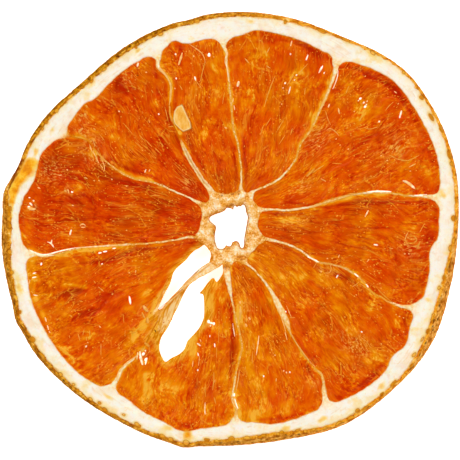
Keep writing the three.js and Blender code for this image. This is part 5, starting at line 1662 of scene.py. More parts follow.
def smooth_line(corners):
    path = np.array(corners, float)
    for _ in range(2 if len(path) > 2 else 0):
        middle = np.stack([0.75 * path[:-1] + 0.25 * path[1:], 0.25 * path[:-1] + 0.75 * path[1:]], 1)
        path = np.vstack([path[:1], middle.reshape(-1, 2), path[-1:]])
    return evenly(path, TUBE_SPACING, closed=False)


print("points on a smooth line:", len(smooth_line([(0, 0), (1, 1), (2, 0)])))

# %% Rings and faces of a tube
def tube_rings(path, heights, half):
    """The points of one tube, ring after ring, tapered to both ends."""
    ahead = np.gradient(path, axis=0)
    ahead /= np.hypot(*ahead.T)[:, None]
    across = np.column_stack([-ahead[:, 1], ahead[:, 0]])
    width = half * np.sin(np.pi * (0.07 + 0.86 * np.linspace(0, 1, len(path))))**0.6
    width *= 1 + 0.3 * ripples(path[:, 0], path[:, 1], 0.5, 71)
    sideways = across[:, None] * (width[:, None] * TUBE[:, 0])[..., None]
    upwards = (width[:, None] * TUBE[:, 1])[..., None]
    rings = np.column_stack([path, heights])[:, None] + np.concatenate([sideways, upwards], -1)
    return rings.reshape(-1, 3)


def tube_faces(count):
    """The triangles of a tube of that many rings, with both its ends closed."""
    sides = len(TUBE)
    ring_starts = np.arange(count - 1)[:, None] * sides
    first = ring_starts + np.arange(sides)
    second = ring_starts + (np.arange(sides) + 1) % sides
    fan = np.arange(1, sides - 1)
    last = (count - 1) * sides
    return np.vstack([
        np.stack([first, first + sides, second], -1).reshape(-1, 3),
        np.stack([second, first + sides, second + sides], -1).reshape(-1, 3),
        np.stack([0 * fan, fan, fan + 1], -1),
        np.stack([0 * fan + last, last + fan + 1, last + fan], -1),
    ])


print("a tube of 5 rings has", len(tube_faces(5)), "triangles")

# %% Shreds
def tubes(lines, tree):
    """Tubes that lie on the surface: their points, faces and how pale each point is, the palest a painted
    highlight.
    """
    points, faces, pale_and_painted_glint, start = [], [], [], 0
    for tone, half, *corners in lines:
        path = smooth_line(corners)
        heights, _, found = drop_on(tree, path)
        path, heights = path[found], heights[found]
        if len(path) < 3:
            continue
        heights = np.convolve(np.pad(heights, 1, mode="edge"), [0.25, 0.5, 0.25], mode="valid")
        points.append(tube_rings(path, heights, half))
        faces.append(tube_faces(len(path)) + start)
        mottled = 0.06 * ripples(path[:, 0], path[:, 1], 0.4, 72)
        pale_and_painted_glint.append(tone + np.repeat(mottled, len(TUBE)))
        start += len(points[-1])
    return np.vstack(points), np.vstack(faces), np.concatenate(pale_and_painted_glint)


# The clearest ones lie partly over the membranes, so pith and pulp both carry them
whole_tree = shell_tree([*pulp_names, "pith"])
points, faces, pale_and_painted_glint = tubes(SHREDS, whole_tree)
make_piece("shreds", points, faces, {"pale_and_painted_glint": pale_and_painted_glint}, [])

# %% [markdown]
# ## The pip
#
# One pip was sliced with the fruit, and its cut face lies in the pulp as a pale plate about 4 mm
# long, with the coat standing up a little round it. A whole drop-shaped pip could be sunk into
# the segment, but only this face is ever seen, so a plate with a raised rim is made. It rests at
# the middle height of the pulp below it.

# %% Pip
PIP_OUTLINE = [
    (-7.1, 18.65), (-7.9, 18.3), (-8.4, 17.6), (-8.55, 16.4), (-8.35, 15.6), (-7.7, 14.95), (-7.0, 14.35),
    (-6.0, 14.75), (-5.66, 15.0), (-5.8, 15.9), (-6.3, 16.95), (-6.8, 18.1),
]
PIP_RISE = 0.3
PIP_SPACING = 0.13
PIP_MIDDLE = -7.1  # the x of its middle
PIP_TILT = 0.03  # its left end lies a little higher

pip_loop = evenly(np.array(PIP_OUTLINE), PIP_SPACING)
pip_plan, pip_net = fill_net([pip_loop], lambda points: is_within(points, pip_loop), PIP_SPACING, 3)
pip_depth = nearest(pip_loop, pip_plan)[1]
pip_floor, _, _ = drop_on(pulp_tree, pip_plan)
pip_level = np.median(pip_floor)
rim = np.exp(-((pip_depth - 0.16) / 0.12)**2)
uneven = 0.03 * ripples(*pip_plan.T, 0.9, 81, octaves=2)
pip_top = pip_level + PIP_RISE * soft_step(pip_depth, -0.05, 0.25) + 0.06 * rim + uneven
pip_top -= PIP_TILT * (pip_plan[:, 0] - PIP_MIDDLE)
pip_skins = [np.column_stack([pip_plan, level]) for level in (pip_top, pip_top - PIP_RISE - 0.3)]
points, faces = two_skins(pip_plan, pip_net, *pip_skins, lambda edge: [])
attributes = {"pip_depth": np.concatenate([pip_depth, pip_depth])}
pip = make_piece("pip", points, faces, attributes, [])

# %% [markdown]
# ## Finishes
#
# Colours are written as sRGB hex values, the way a colour picker shows them, and `linear` turns
# them into the light values that the renderer works with. `add_node` adds any shader node. Its
# inputs are given by name, or as a list in the order in which the node has them, and each is a
# number, a colour or another node's output.
#
# A finish is built up as a painter would glaze it: a ground colour first, then thin layers.
# `lay_over` lays such layers, each where a number that the mesh or a noise gives lies between two
# values. A share that is worked out already is such a number too, between 0 and 1.
# Noise sizes are given in millimetres: `PER_MM / 3.2` makes swells about 3.2 mm apart.

# %% Node tools
PER_MM = 1 / MM


def linear(hex_colour):
    parts = [int(hex_colour[i:i + 2], 16) / 255 for i in (1, 3, 5)]
    return tuple(p / 12.92 if p <= 0.04045 else ((p + 0.055) / 1.055)**2.4 for p in parts) + (1.0,)


def add_node(tree, kind, inputs=(), output=0, stops=(), **settings):
    """Adds a node and returns one of its outputs. The stops are those of a colour ramp."""
    node = tree.nodes.new("ShaderNode" + kind)
    for key, value in settings.items():
        setattr(node, key, value)
    named = inputs if isinstance(inputs, dict) else dict(enumerate(inputs))
    for key, value in named.items():
        if isinstance(value, bpy.types.NodeSocket):
            tree.links.new(value, node.inputs[key])
        else:
            node.inputs[key].default_value = linear(value) if isinstance(value, str) else value
    for _ in stops[2:]:
        node.color_ramp.elements.new(0.5)
    for number, (position, colour) in enumerate(stops):
        node.color_ramp.elements[number].position = position
        node.color_ramp.elements[number].color = linear(colour)
    return node.outputs[output] if node.outputs else node


print("white and mid grey as light:", linear("#ffffff")[0], round(linear("#808080")[0], 3))

# %% Finishes and layers
def new_finish(name):
    material = bpy.data.materials.new(name)
    material.use_nodes = True
    material.node_tree.nodes.clear()
    return material, material.node_tree


def lay_over(tree, colour, layers):
    """Lays colours over one. Each is given as the number that masks it, the values of that number
    at which none of it and its whole share is laid, its share, and its colour."""
    for masked_by, none, full, share, top in layers:
        mask = add_node(tree, "MapRange", [masked_by, none, full, 0.0, share])
        colour = add_node(tree, "Mix", {0: mask, 6: colour, 7: top}, 2, data_type="RGBA")
    return colour


print("finishes so far:", len(bpy.data.materials))

# %% [markdown]
# ### The pulp: a skin of dried juice
#
# Dried pulp is made of juice sacs whose pectin and sugar have set to a clear skin, a natural
# sugar glass. Nobody polished it: it dried by itself, as smooth as syrup in one place and rough
# with crystals in the next. That gives the eye amber glass with uneven gloss, deep red-orange
# where it is thick and golden where it is thin.
#
# A glass shader that absorbs light inside would do that by itself, but it is slow and grainy in
# so thin a skin. So `tone`, which was worked out together with the relief and holds painted shade
# in its hollows and painted light on its crests, drives a ramp from red to gold. The patches are
# 3 mm and the sacs 1.5 mm wide, as on the real fruit. The threads in a sac's skin are thinner than
# 0.1 mm, too fine to show, so they are drawn 0.3 mm apart.

# %% Pulp noises
pulp_finish, tree = new_finish("dried_orange_pulp")
carried = {name: add_node(tree, "Attribute", output="Fac", attribute_name=name)
           for name in ("tone", "grain", "thin")}
place = add_node(tree, "TexCoord", output="Object")
flow = add_node(tree, "Attribute", output="Vector", attribute_name="flow")
# Places across and along the flow, drawn out along it as sacs, strands and folds are
sac_place, strand_place, fold_place, cloud_place, thread_place = (
    add_node(tree, "VectorMath", [flow, (MM, share * MM, 0)], operation="MULTIPLY")
    for share in (SAC_WIDTH / SAC_LENGTH, 0.22, 0.55, 0.6, 0.16))
patch = add_node(tree, "TexNoise", {
    "Vector": place, "Scale": PER_MM / 3.2, "Detail": 2.0, "Roughness": 0.5})
clouds = add_node(tree, "TexNoise", {
    "Vector": cloud_place, "Scale": PER_MM / 1.3, "Detail": 3.0, "Roughness": 0.55})
veins = add_node(tree, "TexNoise", {
    "Vector": fold_place, "Scale": PER_MM / 0.55, "Detail": 3.0, "Roughness": 0.65})
crumbs = add_node(tree, "TexNoise", {
    "Vector": fold_place, "Scale": PER_MM / 0.36, "Detail": 2.0, "Roughness": 0.6})
strands = add_node(tree, "TexNoise", {
    "Vector": strand_place, "Scale": PER_MM / 0.3, "Detail": 2.0, "Roughness": 0.5})
print("nodes for the pulp's noises:", len(tree.nodes))

# %% Pulp tone
sac_cells = {"Vector": sac_place, "Scale": PER_MM / SAC_WIDTH}
sac_tint = add_node(tree, "TexVoronoi", sac_cells, "Color", voronoi_dimensions="2D")
sac_number = add_node(tree, "SeparateColor", [sac_tint])
tone = add_node(tree, "Math", [
    carried["tone"], add_node(tree, "MapRange", [clouds, 0.25, 0.75, -0.7, 0.7])])
busy_noise = add_node(tree, "TexNoise", {
    "Vector": place, "Scale": PER_MM / 2.4, "Detail": 3.0, "Roughness": 0.5})
busy = add_node(tree, "MapRange", [busy_noise, 0.45, 0.62, 0.15, 1.5])
texture = add_node(tree, "Math", [
    add_node(tree, "MapRange", [veins, 0.25, 0.75, -0.75, 0.75]),
    add_node(tree, "MapRange", [crumbs, 0.25, 0.75, -0.55, 0.55])])
tone = add_node(tree, "Math", [tone, add_node(tree, "Math", [texture, busy], operation="MULTIPLY")])
tone = add_node(tree, "Math", [tone, add_node(tree, "MapRange", [sac_number, 0.0, 1.0, -0.22, 0.22])])
print("nodes for the pulp's tone:", len(tree.nodes))

# %% Borders of the sacs
# A sac's border: a soft dark band of painted shade, with a thin bright ridge of skin down its middle that
# is partly painted light
border = add_node(
    tree, "TexVoronoi", sac_cells, "Distance", voronoi_dimensions="2D", feature="DISTANCE_TO_EDGE")
border_patch = add_node(tree, "MapRange", [patch, 0.42, 0.6, 0.0, 1.0])
painted_border_shade = add_node(tree, "Math", [
    add_node(tree, "MapRange", [border, 0.03, 0.16, 0.45, 0.0]), border_patch], operation="MULTIPLY")
tone = add_node(tree, "Math", [tone, painted_border_shade], operation="SUBTRACT")
tone = add_node(tree, "MapRange", [tone, -1.4, 1.6, 0.0, 1.0])
print("nodes with the sacs' borders:", len(tree.nodes))

# %% Pulp colours
colour = add_node(tree, "ValToRGB", [tone], stops=[
    (0.04, "#bc2200"), (0.2, "#cb3100"), (0.36, "#d74100"), (0.52, "#e05400"), (0.68, "#e76b00"),
    (0.84, "#ee8802"), (0.97, "#f5ac30")])
gold = add_node(tree, "ValToRGB", [tone], stops=[
    (0.04, "#b43200"), (0.2, "#c44200"), (0.36, "#d15200"), (0.52, "#db6500"), (0.68, "#e47c00"),
    (0.84, "#ee9606"), (0.97, "#f8b438")])
gilding = add_node(tree, "TexNoise", {
    "Vector": place, "Scale": PER_MM / 6.0, "Detail": 4.0, "Roughness": 0.6})
strand_share = add_node(tree, "Math", [
    add_node(tree, "MapRange", [strands, 0.6, 0.74, 0.0, 0.6]),
    add_node(tree, "MapRange", [patch, 0.4, 0.62, 0.1, 1.0])], operation="MULTIPLY")
colour = lay_over(tree, colour, [
    (gilding, 0.47, 0.6, 0.8, gold),
    (strand_share, 0.0, 1.0, 1.0, "#ee9010"),
])
print("nodes with the pulp's colours:", len(tree.nodes))

# %% Pulp threads
# Single threads of skin: where a long, narrow noise passes through one of two values
threads = add_node(tree, "TexNoise", {
    "Vector": thread_place, "Scale": PER_MM / 1.3, "Detail": 2.0, "Roughness": 0.5})
bright_threads = add_node(tree, "ValToRGB", [threads], stops=[
    (0.48, "#000000"), (0.5, "#ffffff"), (0.52, "#000000")])
dark_threads = add_node(tree, "ValToRGB", [threads], stops=[
    (0.385, "#000000"), (0.405, "#ffffff"), (0.425, "#000000")])
bright_share = add_node(tree, "Math", [
    bright_threads, add_node(tree, "MapRange", [patch, 0.46, 0.62, 0.05, 0.55])], operation="MULTIPLY")
dark_share = add_node(tree, "Math", [
    dark_threads, add_node(tree, "MapRange", [clouds, 0.6, 0.42, 0.1, 0.5])], operation="MULTIPLY")
# The bright ridge of skin along a sac's border, partly painted light.
ridge_and_painted_light = add_node(tree, "Math", [
    add_node(tree, "MapRange", [border, 0.045, 0.02, 0.0, 0.7]), border_patch], operation="MULTIPLY")
ridge_and_painted_light = add_node(tree, "Math", [
    ridge_and_painted_light, add_node(tree, "MapRange", [crumbs, 0.38, 0.55, 0.1, 1.0])], operation="MULTIPLY")
print("nodes with the threads:", len(tree.nodes))

# %% Pulp crystals
# Small crystals sit in the middle of cells, but only in the third of them with the highest numbers
dot_middle = add_node(tree, "TexVoronoi", {
    "Vector": place, "Scale": PER_MM / 0.5}, "Distance", voronoi_dimensions="2D")
dot_number = add_node(tree, "SeparateColor", [dot_middle.node.outputs["Color"]])
dots = add_node(tree, "Math", [
    add_node(tree, "MapRange", [dot_middle, 0.24, 0.14, 0.0, 0.9]),
    add_node(tree, "MapRange", [dot_number, 0.62, 0.95, 0.0, 1.0])], operation="MULTIPLY")
dots = add_node(tree, "Math", [dots, border_patch], operation="MULTIPLY")
# Partly painted sheen: the pale patches of crystals also stand for glossy sheen on the folds.
grain_and_sheen_share = add_node(tree, "Math", [
    carried["grain"], add_node(tree, "MapRange", [crumbs, 0.5, 0.62, 0.0, 0.7])], operation="MULTIPLY")
colour = lay_over(tree, colour, [
    (dark_share, 0.0, 1.0, 1.0, "#b02600"),
    (bright_share, 0.0, 1.0, 1.0, "#f6a82c"),
    (ridge_and_painted_light, 0.0, 1.0, 1.0, "#f4a024"),
    (dots, 0.0, 1.0, 1.0, "#f6ac3c"),
    (grain_and_sheen_share, 0.0, 1.0, 1.0, "#f6b850"),
])
print("nodes with the crystals:", len(tree.nodes))

# %% [markdown]
# Beside the tears the skin is a single film, as thin as paper. Light from the floor would come
# through it, and the paleness of its thinnest parts is painted light for that. Last comes the
# surface: sugar glass has an IOR near 1.45 and is smooth, and the crystals and threads stand up
# from it by less than 0.1 mm, which a bump can do. Its reflections are tinted, because the skin is
# coloured all through.

# %% Pulp films and surface
film_tone = add_node(tree, "Math", [clouds, strands])
film = add_node(tree, "ValToRGB", [film_tone], stops=[
    (0.7, "#d47804"), (0.95, "#e08c0a"), (1.1, "#e99c16"), (1.3, "#f2b038")])
# Painted light: the thinnest film is painted paler for the light from the floor that would pass through it.
pale_film_painted_light = add_node(tree, "ValToRGB", [film_tone], stops=[
    (0.7, "#e89e2c"), (0.95, "#f2b44c"), (1.15, "#f9ca74"), (1.3, "#fddc98")])
thin = carried["thin"]
film = lay_over(tree, film, [(thin, 1.3, 1.75, 0.95, pale_film_painted_light)])
colour = lay_over(tree, colour, [(thin, 0.3, 0.95, 0.92, film)])
raised = add_node(tree, "Math", [
    add_node(tree, "Math", [crumbs, bright_share]), add_node(tree, "Math", [dots, ridge_and_painted_light])])
bump = add_node(tree, "Bump", {"Height": raised, "Strength": 0.3, "Distance": 0.0001})
shader = add_node(tree, "BsdfPrincipled", {
    "Base Color": colour,
    "Metallic": 0.0,
    "IOR": 1.45,
    "Roughness": add_node(tree, "MapRange", [crumbs, 0.3, 0.7, 0.1, 0.32]),
    "Specular IOR Level": add_node(tree, "MapRange", [thin, 0.0, 0.5, 0.18, 0.0]),
    "Specular Tint": "#ffaa59",
    "Subsurface Weight": add_node(tree, "MapRange", [thin, 0.0, 0.5, 0.25, 0.0]),
    "Subsurface Radius": (1.0, 0.28, 0.05),
    "Subsurface Scale": 0.0005,
    "Normal": bump,
})
add_node(tree, "OutputMaterial", {"Surface": shader})
for segment in segments:
    segment.data.materials.append(pulp_finish)
print("nodes of the whole pulp finish:", len(tree.nodes))

# %% [markdown]
# ### The beads and shreds: dried syrup
#
# The beads are syrup that dried in drops, and the shreds are bare sac walls. Both are as smooth
# and hard as a boiled sweet, and to the eye they are points and lines of light. A real glint is
# only some hundredths of a millimetre wide, too fine to show, so it is painted as wide as its
# bead: its paleness runs from brown through amber to white, where the white end is a painted
# highlight, and the palest ones glow a little, which is painted light too.

# %% Bead finish
bead_finish, tree = new_finish("dried_juice_with_painted_glints")
pale_and_painted_glint = add_node(tree, "Attribute", output="Fac", attribute_name="pale_and_painted_glint")
# The white end of this ramp is a painted highlight.
colour = add_node(tree, "ValToRGB", [pale_and_painted_glint], stops=[
    (0.0, "#7a3a0c"), (0.12, "#a8641c"), (0.28, "#dd7a12"), (0.5, "#e88c1a"), (0.75, "#f0a63c"),
    (0.87, "#fac678"), (1.0, "#fff4e0")])
shader = add_node(tree, "BsdfPrincipled", {
    "Base Color": colour,
    "Metallic": 0.0,
    "IOR": 1.5,
    "Roughness": 0.3,
    "Specular IOR Level": 0.03,
    "Specular Tint": "#ffc489",
    # Painted highlight: the palest beads and shreds glow a little, though they are no lamp.
    "Emission Color": colour,
    "Emission Strength": add_node(tree, "MapRange", [pale_and_painted_glint, 0.8, 1.0, 0.0, 0.4]),
})
add_node(tree, "OutputMaterial", {"Surface": shader})
pieces["beads_of_juice"].data.materials.append(bead_finish)
pieces["shreds"].data.materials.append(bead_finish)
print("nodes of the bead finish:", len(tree.nodes))

# %% [markdown]
# ### The pip: kernel and woody coat
#
# A pip is a waxy kernel in a woody coat, here cut through by the knife and dried. The eye sees a
# soft amber plate with a pale rim and a brown edge, neither matt nor glossy. The fibres of the
# coat are 0.05 mm wide and too fine to show, so the grain is drawn ten times as coarse. The rim
# could be a piece of its own, but it has grown onto the kernel, so the depth below the pip's
# edge gives it a colour of its own.

# %% Pip finish
pip_finish, tree = new_finish("cut_pip")
below_edge = add_node(tree, "Attribute", output="Fac", attribute_name="pip_depth")
place = add_node(tree, "TexCoord", output="Object")
grain_place = add_node(tree, "VectorMath", [place, (1.0, 0.4, 1.0)], operation="MULTIPLY")
grain = add_node(tree, "TexNoise", {
    "Vector": grain_place, "Scale": PER_MM / 0.5, "Detail": 3.0, "Roughness": 0.6})
colour = add_node(tree, "ValToRGB", [grain], stops=[(0.3, "#ee9c26"), (0.5, "#f6b44c"), (0.7, "#fbcb7a")])
colour = lay_over(tree, colour, [
    (below_edge, 0.34, 0.22, 0.9, "#fddc98"),
    (below_edge, 0.2, 0.08, 0.95, "#e08a1c"),
])
shader = add_node(tree, "BsdfPrincipled", {
    "Base Color": colour,
    "Metallic": 0.0,
    "IOR": 1.5,
    "Roughness": 0.45,
    "Specular IOR Level": 0.0,
    "Subsurface Weight": 0.2,
    "Subsurface Radius": (1.0, 0.5, 0.2),
    "Subsurface Scale": 0.0005,
})
add_node(tree, "OutputMaterial", {"Surface": shader})
pip.data.materials.append(pip_finish)
print("nodes of the pip finish:", len(tree.nodes))

# %% [markdown]
# ### The pith: dried white tissue
#
# Pith is a sponge of dead cells that hold air, much like soft paper or felt, and its surface is
# simply as the knife and the drying left it. The air scatters light, so the eye sees a matt,
# cream surface that mirrors nothing. Its slight glow is painted light: a faint emission of its own
# colour, though it is no lamp. Paper's typical roughness of 0.8 and IOR of 1.5 suit it. Its pores
# are 0.2 to 0.5 mm wide and are drawn at that size, and its fibres run round the ring, so their
# noise is stretched along `round_ring`.
#
# The ring, the membranes and the core get a ground colour each, blended where they meet.

# %% Colour of the peel ring
pith_finish, tree = new_finish("dried_orange_pith")
carried = {name: add_node(tree, "Attribute", output="Fac", attribute_name=name)
           for name in ("rim_depth", "in_ring", "lump", "in_core", "amber", "split", "stain",
                        "edge_line", "brown", "to_hole", "gland", "gland_tone")}
place = add_node(tree, "TexCoord", output="Object")
mottle = add_node(tree, "TexNoise", {
    "Vector": place, "Scale": PER_MM / 2.6, "Detail": 4.0, "Roughness": 0.6})
blush = add_node(tree, "TexNoise", {
    "Vector": place, "Scale": PER_MM / 1.1, "Detail": 3.0, "Roughness": 0.6})
sponge = add_node(tree, "TexNoise", {
    "Vector": place, "Scale": PER_MM / 0.45, "Detail": 3.0, "Roughness": 0.6})
ring_colour = add_node(tree, "ValToRGB", [mottle], stops=[
    (0.32, "#fae2c6"), (0.46, "#fdf1e0"), (0.58, "#fef4e6"), (0.72, "#fce8bc")])
yellowing = add_node(tree, "Math", [
    mottle, add_node(tree, "MapRange", [carried["rim_depth"], 0.0, 1.6, 0.22, 0.0])])
ring_place = add_node(tree, "Attribute", output="Vector", attribute_name="round_ring")
fibre_place = add_node(tree, "VectorMath", [ring_place, (0.1 * MM, MM, 0)], operation="MULTIPLY")
fibres = add_node(tree, "TexNoise", {
    "Vector": fibre_place, "Scale": PER_MM / 0.35, "Detail": 3.0, "Roughness": 0.6})
fibre_share = add_node(tree, "Math", [
    add_node(tree, "MapRange", [fibres, 0.52, 0.68, 0.0, 0.6]),
    add_node(tree, "MapRange", [mottle, 0.54, 0.42, 0.0, 1.0])], operation="MULTIPLY")
ring_colour = lay_over(tree, ring_colour, [
    (blush, 0.58, 0.74, 0.6, "#f4d0aa"),
    (yellowing, 0.56, 0.74, 0.75, "#f9dca0"),
    (fibre_share, 0.0, 1.0, 1.0, "#f0cb94"),
    (sponge, 0.6, 0.72, 0.6, "#f8d088"),
    (sponge, 0.38, 0.28, 0.5, "#fbe2d0"),
])
print("nodes for the ring's colour:", len(tree.nodes))

# %% Colours of the membranes and the core
membrane_colour = add_node(tree, "ValToRGB", [sponge], stops=[
    (0.3, "#fabe6a"), (0.46, "#ffda9e"), (0.62, "#fff2d0")])
crumb = add_node(tree, "TexNoise", {
    "Vector": place, "Scale": PER_MM / 0.24, "Detail": 2.0, "Roughness": 0.5})
lump = add_node(tree, "Math", [
    carried["lump"], add_node(tree, "MapRange", [crumb, 0.3, 0.7, -0.08, 0.08])])
core_tone = add_node(tree, "MapRange", [lump, -0.17, 0.11, 0.0, 1.0])
core_colour = add_node(tree, "ValToRGB", [core_tone], stops=[
    (0.0, "#c46800"), (0.2, "#e08a10"), (0.38, "#f0a63c"), (0.54, "#f8c274"), (0.7, "#fed6a0"),
    (0.9, "#fff2d4")])
colour = lay_over(tree, membrane_colour, [
    (carried["in_ring"], 0.0, 1.0, 1.0, ring_colour),
    (carried["in_core"], 0.0, 0.8, 0.95, core_colour),
])
print("nodes for the pith's ground colours:", len(tree.nodes))

# %% [markdown]
# Over the ground lie the layers, from the widest to the smallest: clear amber membranes and the
# stains with their pale halo, which juice made, the split, the drawn edges beside the pulp, brown
# spots, a brown edge along the hole, and the glands with their rims along the rind.

# %% Pith stains and glands
amber_colour = add_node(tree, "ValToRGB", [sponge], stops=[
    (0.32, "#ea9a2c"), (0.5, "#f3b454"), (0.66, "#f9d08c")])
stain_sum = add_node(tree, "Math", [carried["stain"], 1.3, mottle], operation="MULTIPLY_ADD")
stain_colour = add_node(tree, "ValToRGB", [blush], stops=[
    (0.34, "#e88404"), (0.5, "#f6a812"), (0.64, "#fcc63c")])
under_skin = add_node(tree, "Math", [blush, 0.8, carried["rim_depth"]], operation="MULTIPLY_ADD")
gland = carried["gland"]
gland_colour = add_node(tree, "ValToRGB", [carried["gland_tone"]], stops=[
    (0.0, "#d08218"), (0.4, "#e6a02c"), (1.0, "#f4be54")])
colour = lay_over(tree, colour, [
    (carried["amber"], 0.0, 1.0, 0.95, amber_colour),
    (carried["amber"], 1.0, 1.8, 1.0, "#de7406"),
    (carried["split"], 0.0, 0.8, 0.8, "#cf8c3a"),
    (stain_sum, 0.64, 0.86, 0.85, "#fcd470"),
    (stain_sum, 0.82, 1.25, 0.97, stain_colour),
    (carried["edge_line"], 0.2, 0.9, 0.9, "#ec9c30"),
    (carried["brown"], 0.3, 0.9, 0.9, "#a0500c"),
    # Brown along the edge of the hole.
    (carried["to_hole"], 0.2, 0.04, 0.85, "#ac5c08"),
    (under_skin, 0.75, 0.5, 0.85, "#ecb44e"),
    (gland, -0.28, 0.0, 0.85, "#f3cd74"),
    (gland, -0.02, 0.04, 0.95, "#c87818"),
    (gland, 0.05, 0.13, 1.0, gland_colour),
])
pores = add_node(tree, "Math", [mottle, 0.5, sponge], operation="MULTIPLY_ADD")
bump = add_node(tree, "Bump", {"Height": pores, "Strength": 0.25, "Distance": 0.0001})
shader = add_node(tree, "BsdfPrincipled", {
    "Base Color": colour,
    "Metallic": 0.0,
    "IOR": 1.5,
    "Roughness": 0.8,
    "Specular IOR Level": 0.0,
    "Subsurface Weight": 0.4,
    "Subsurface Radius": (1.0, 0.7, 0.3),
    "Subsurface Scale": 0.0004,
    # Painted light: a faint glow of the pith's own colour, though it is no lamp.
    "Emission Color": colour,
    "Emission Strength": 0.025,
    "Normal": bump,
})
add_node(tree, "OutputMaterial", {"Surface": shader})
pith.data.materials.append(pith_finish)
print("nodes of the whole pith finish:", len(tree.nodes))

# %% [markdown]
# ### The rind: dried waxy skin
#
# The rind is the coloured outer skin of the orange, waxy and full of oil glands. It was neither
# peeled nor treated, and its oil turned brown in the warmth. The eye sees leather: satin, uneven
# and darkest in the pits, orange only where the side of the slice faces the light. Leather's
# typical roughness of 0.5 suits it. Its patches are 0.7 mm wide, a little less than a gland.
#
# Two skins and two cut edges, one dark and one bright, are blended by a tone that changes round
# the slice. That tone is partly the rind's own colour and partly painted light: the side that faces
# the light gets the bright, orange copy and the other side the dark, shaded one. One finish for each
# stretch would need seams between them.

# %% Skin of the rind
rind_finish, tree = new_finish("dried_orange_rind")
carried = {name: add_node(tree, "Attribute", output="Fac", attribute_name=name)
           for name in ("skin", "rind_tone_and_painted_light", "pit_number", "pit", "rim_depth", "gland", "gland_tone",
                        "scar")}
place = add_node(tree, "TexCoord", output="Object")
patch = add_node(tree, "TexNoise", {
    "Vector": place, "Scale": PER_MM / 0.7, "Detail": 4.0, "Roughness": 0.7})
fine = add_node(tree, "TexNoise", {
    "Vector": place, "Scale": PER_MM / 0.35, "Detail": 2.0, "Roughness": 0.5})
skin = carried["skin"]
# Painted light, partly also the rind's own colour: the tone round the slice blends a dark, shaded copy of
# the skin with a bright, lit one.
side_tone_and_painted_light = carried["rind_tone_and_painted_light"]
dark_skin = add_node(tree, "ValToRGB", [patch], stops=[
    (0.34, "#4a2800"), (0.44, "#8a5002"), (0.53, "#bc7a08"), (0.66, "#ecaa28")])
bright_skin = add_node(tree, "ValToRGB", [patch], stops=[
    (0.34, "#98480e"), (0.43, "#cc7420"), (0.52, "#e89a34"), (0.64, "#fcc870")])
pit_sum = add_node(tree, "Math", [
    carried["pit_number"], 0.5, carried["pit"]], operation="MULTIPLY_ADD")
skin_colour = lay_over(tree, dark_skin, [
    (side_tone_and_painted_light, 0.1, 0.6, 1.0, bright_skin),
    (pit_sum, 0.5, 0.72, 0.85, "#4a2808"),
])
print("nodes for the rind's skin:", len(tree.nodes))

# %% Cut edge of the rind
# A shaded, olive copy and a lit, orange copy of the cut edge, blended by the same painted light.
olive_cut = add_node(tree, "ValToRGB", [patch], stops=[
    (0.34, "#703608"), (0.43, "#ae620e"), (0.52, "#d4881a"), (0.6, "#eaa820"), (0.7, "#fcd884")])
orange_cut = add_node(tree, "ValToRGB", [patch], stops=[
    (0.34, "#c4640c"), (0.43, "#e48812"), (0.52, "#f4a428"), (0.6, "#fab63c"), (0.7, "#fee09c")])
# A dark line along the outer rim of the cut edge, strongest where the painted light is dim.
dark_line = add_node(tree, "Math", [
    add_node(tree, "MapRange", [carried["rim_depth"], 0.2, 0.1, 0.0, 0.85]),
    add_node(tree, "MapRange", [side_tone_and_painted_light, 0.2, 0.8, 1.0, 0.35])], operation="MULTIPLY")
cut_colour = lay_over(tree, olive_cut, [
    (side_tone_and_painted_light, 0.1, 0.7, 1.0, orange_cut),
    (dark_line, 0.0, 1.0, 1.0, "#553306"),
])
colour = lay_over(tree, cut_colour, [(skin, 0.3, 0.8, 1.0, skin_colour)])
print("nodes for the rind's colours:", len(tree.nodes))

# %% Rind glands and surface
gland = carried["gland"]
gland_colour = add_node(tree, "ValToRGB", [carried["gland_tone"]], stops=[
    (0.0, "#c06c06"), (0.4, "#e09010"), (1.0, "#f6b83c")])
gland_share = add_node(tree, "Math", [
    add_node(tree, "MapRange", [gland, 0.02, 0.1, 0.0, 0.95]),
    add_node(tree, "MapRange", [skin, 0.2, 0.6, 1.0, 0.0])], operation="MULTIPLY")
colour = lay_over(tree, colour, [
    (gland, -0.14, 0.0, 0.5, "#a65c0e"),
    (gland_share, 0.0, 1.0, 1.0, gland_colour),
    (carried["scar"], 0.25, 0.8, 0.85, "#7e2c04"),
])
leathery = add_node(tree, "Math", [fine, 0.5, patch], operation="MULTIPLY_ADD")
bump = add_node(tree, "Bump", {"Height": leathery, "Strength": 0.5, "Distance": 0.00012})
shader = add_node(tree, "BsdfPrincipled", {
    "Base Color": colour,
    "Metallic": 0.0,
    "IOR": 1.5,
    "Roughness": 0.5,
    "Specular IOR Level": 0.0,
    "Normal": bump,
})
add_node(tree, "OutputMaterial", {"Surface": shader})
rind.data.materials.append(rind_finish)
print("nodes of the whole rind finish:", len(tree.nodes))

# %% [markdown]
# ## Floor and light
#
# The slice lies on a pale, plain floor under soft light from all around, a little stronger from
# one side. Nothing bright stands straight above it, so the flat parts of the glossy pulp keep
# their full colour and only the small folds glint.

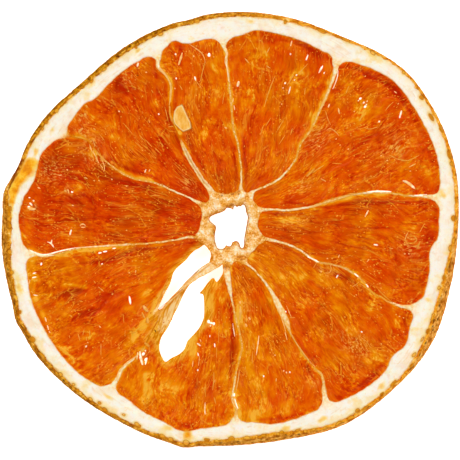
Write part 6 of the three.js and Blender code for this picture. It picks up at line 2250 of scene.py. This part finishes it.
# %% Floor
FLOOR_HALF = 1.5  # m
FLOOR_GAP = 0.0002  # m between the floor and the slice, so that the two never fight for a place

corners = [(-1, -1), (1, -1), (1, 1), (-1, 1)]
floor_mesh = bpy.data.meshes.new("floor")
floor_mesh.from_pydata([(x * FLOOR_HALF, y * FLOOR_HALF, 0) for x, y in corners], [], [(0, 1, 2, 3)])
floor = bpy.data.objects.new("floor", floor_mesh)
bpy.context.scene.collection.objects.link(floor)
floor.location.z = -FLOOR_GAP
floor_finish, tree = new_finish("white_card")
shader = add_node(tree, "BsdfPrincipled", {
    "Base Color": "#f7f7f7",
    "Metallic": 0.0,
    "IOR": 1.5,
    "Roughness": 0.9,
    "Specular IOR Level": 0.0,
    "Emission Color": "#ffffff",
    "Emission Strength": 0.75,
})
add_node(tree, "OutputMaterial", {"Surface": shader})
floor_mesh.materials.append(floor_finish)
print("floor:", 2 * FLOOR_HALF, "m wide")

# %% Lights
LIGHTS = [  # azimuth, elevation, side of the softbox in m, watts
    (125, 50, 0.35, 3.0), (20, 45, 0.3, 2.0), (-100, 45, 0.35, 2.0),
    (70, 62, 0.04, 0.5), (-35, 58, 0.04, 0.4), (170, 60, 0.04, 0.4),
]
LIGHT_DISTANCE = 0.8  # m
AMBIENT = 0.06

for number, (azimuth, elevation, side, watts) in enumerate(LIGHTS):
    light_data = bpy.data.lights.new(f"softbox_{number}", "AREA")
    light_data.size = side
    light_data.energy = watts
    light = bpy.data.objects.new(f"softbox_{number}", light_data)
    tilt = math.radians(elevation)
    direction = Vector((*from_polar(math.cos(tilt), azimuth), math.sin(tilt)))
    light.location = direction * LIGHT_DISTANCE
    light.rotation_euler = direction.to_track_quat("Z", "Y").to_euler()
    bpy.context.scene.collection.objects.link(light)

world = bpy.data.worlds.new("studio")
bpy.context.scene.world = world
world.use_nodes = True
background = world.node_tree.nodes["Background"]
background.inputs["Color"].default_value = linear("#ffffff")
background.inputs["Strength"].default_value = AMBIENT
bpy.context.scene.view_settings.view_transform = "Standard"
print("softboxes:", len(LIGHTS))
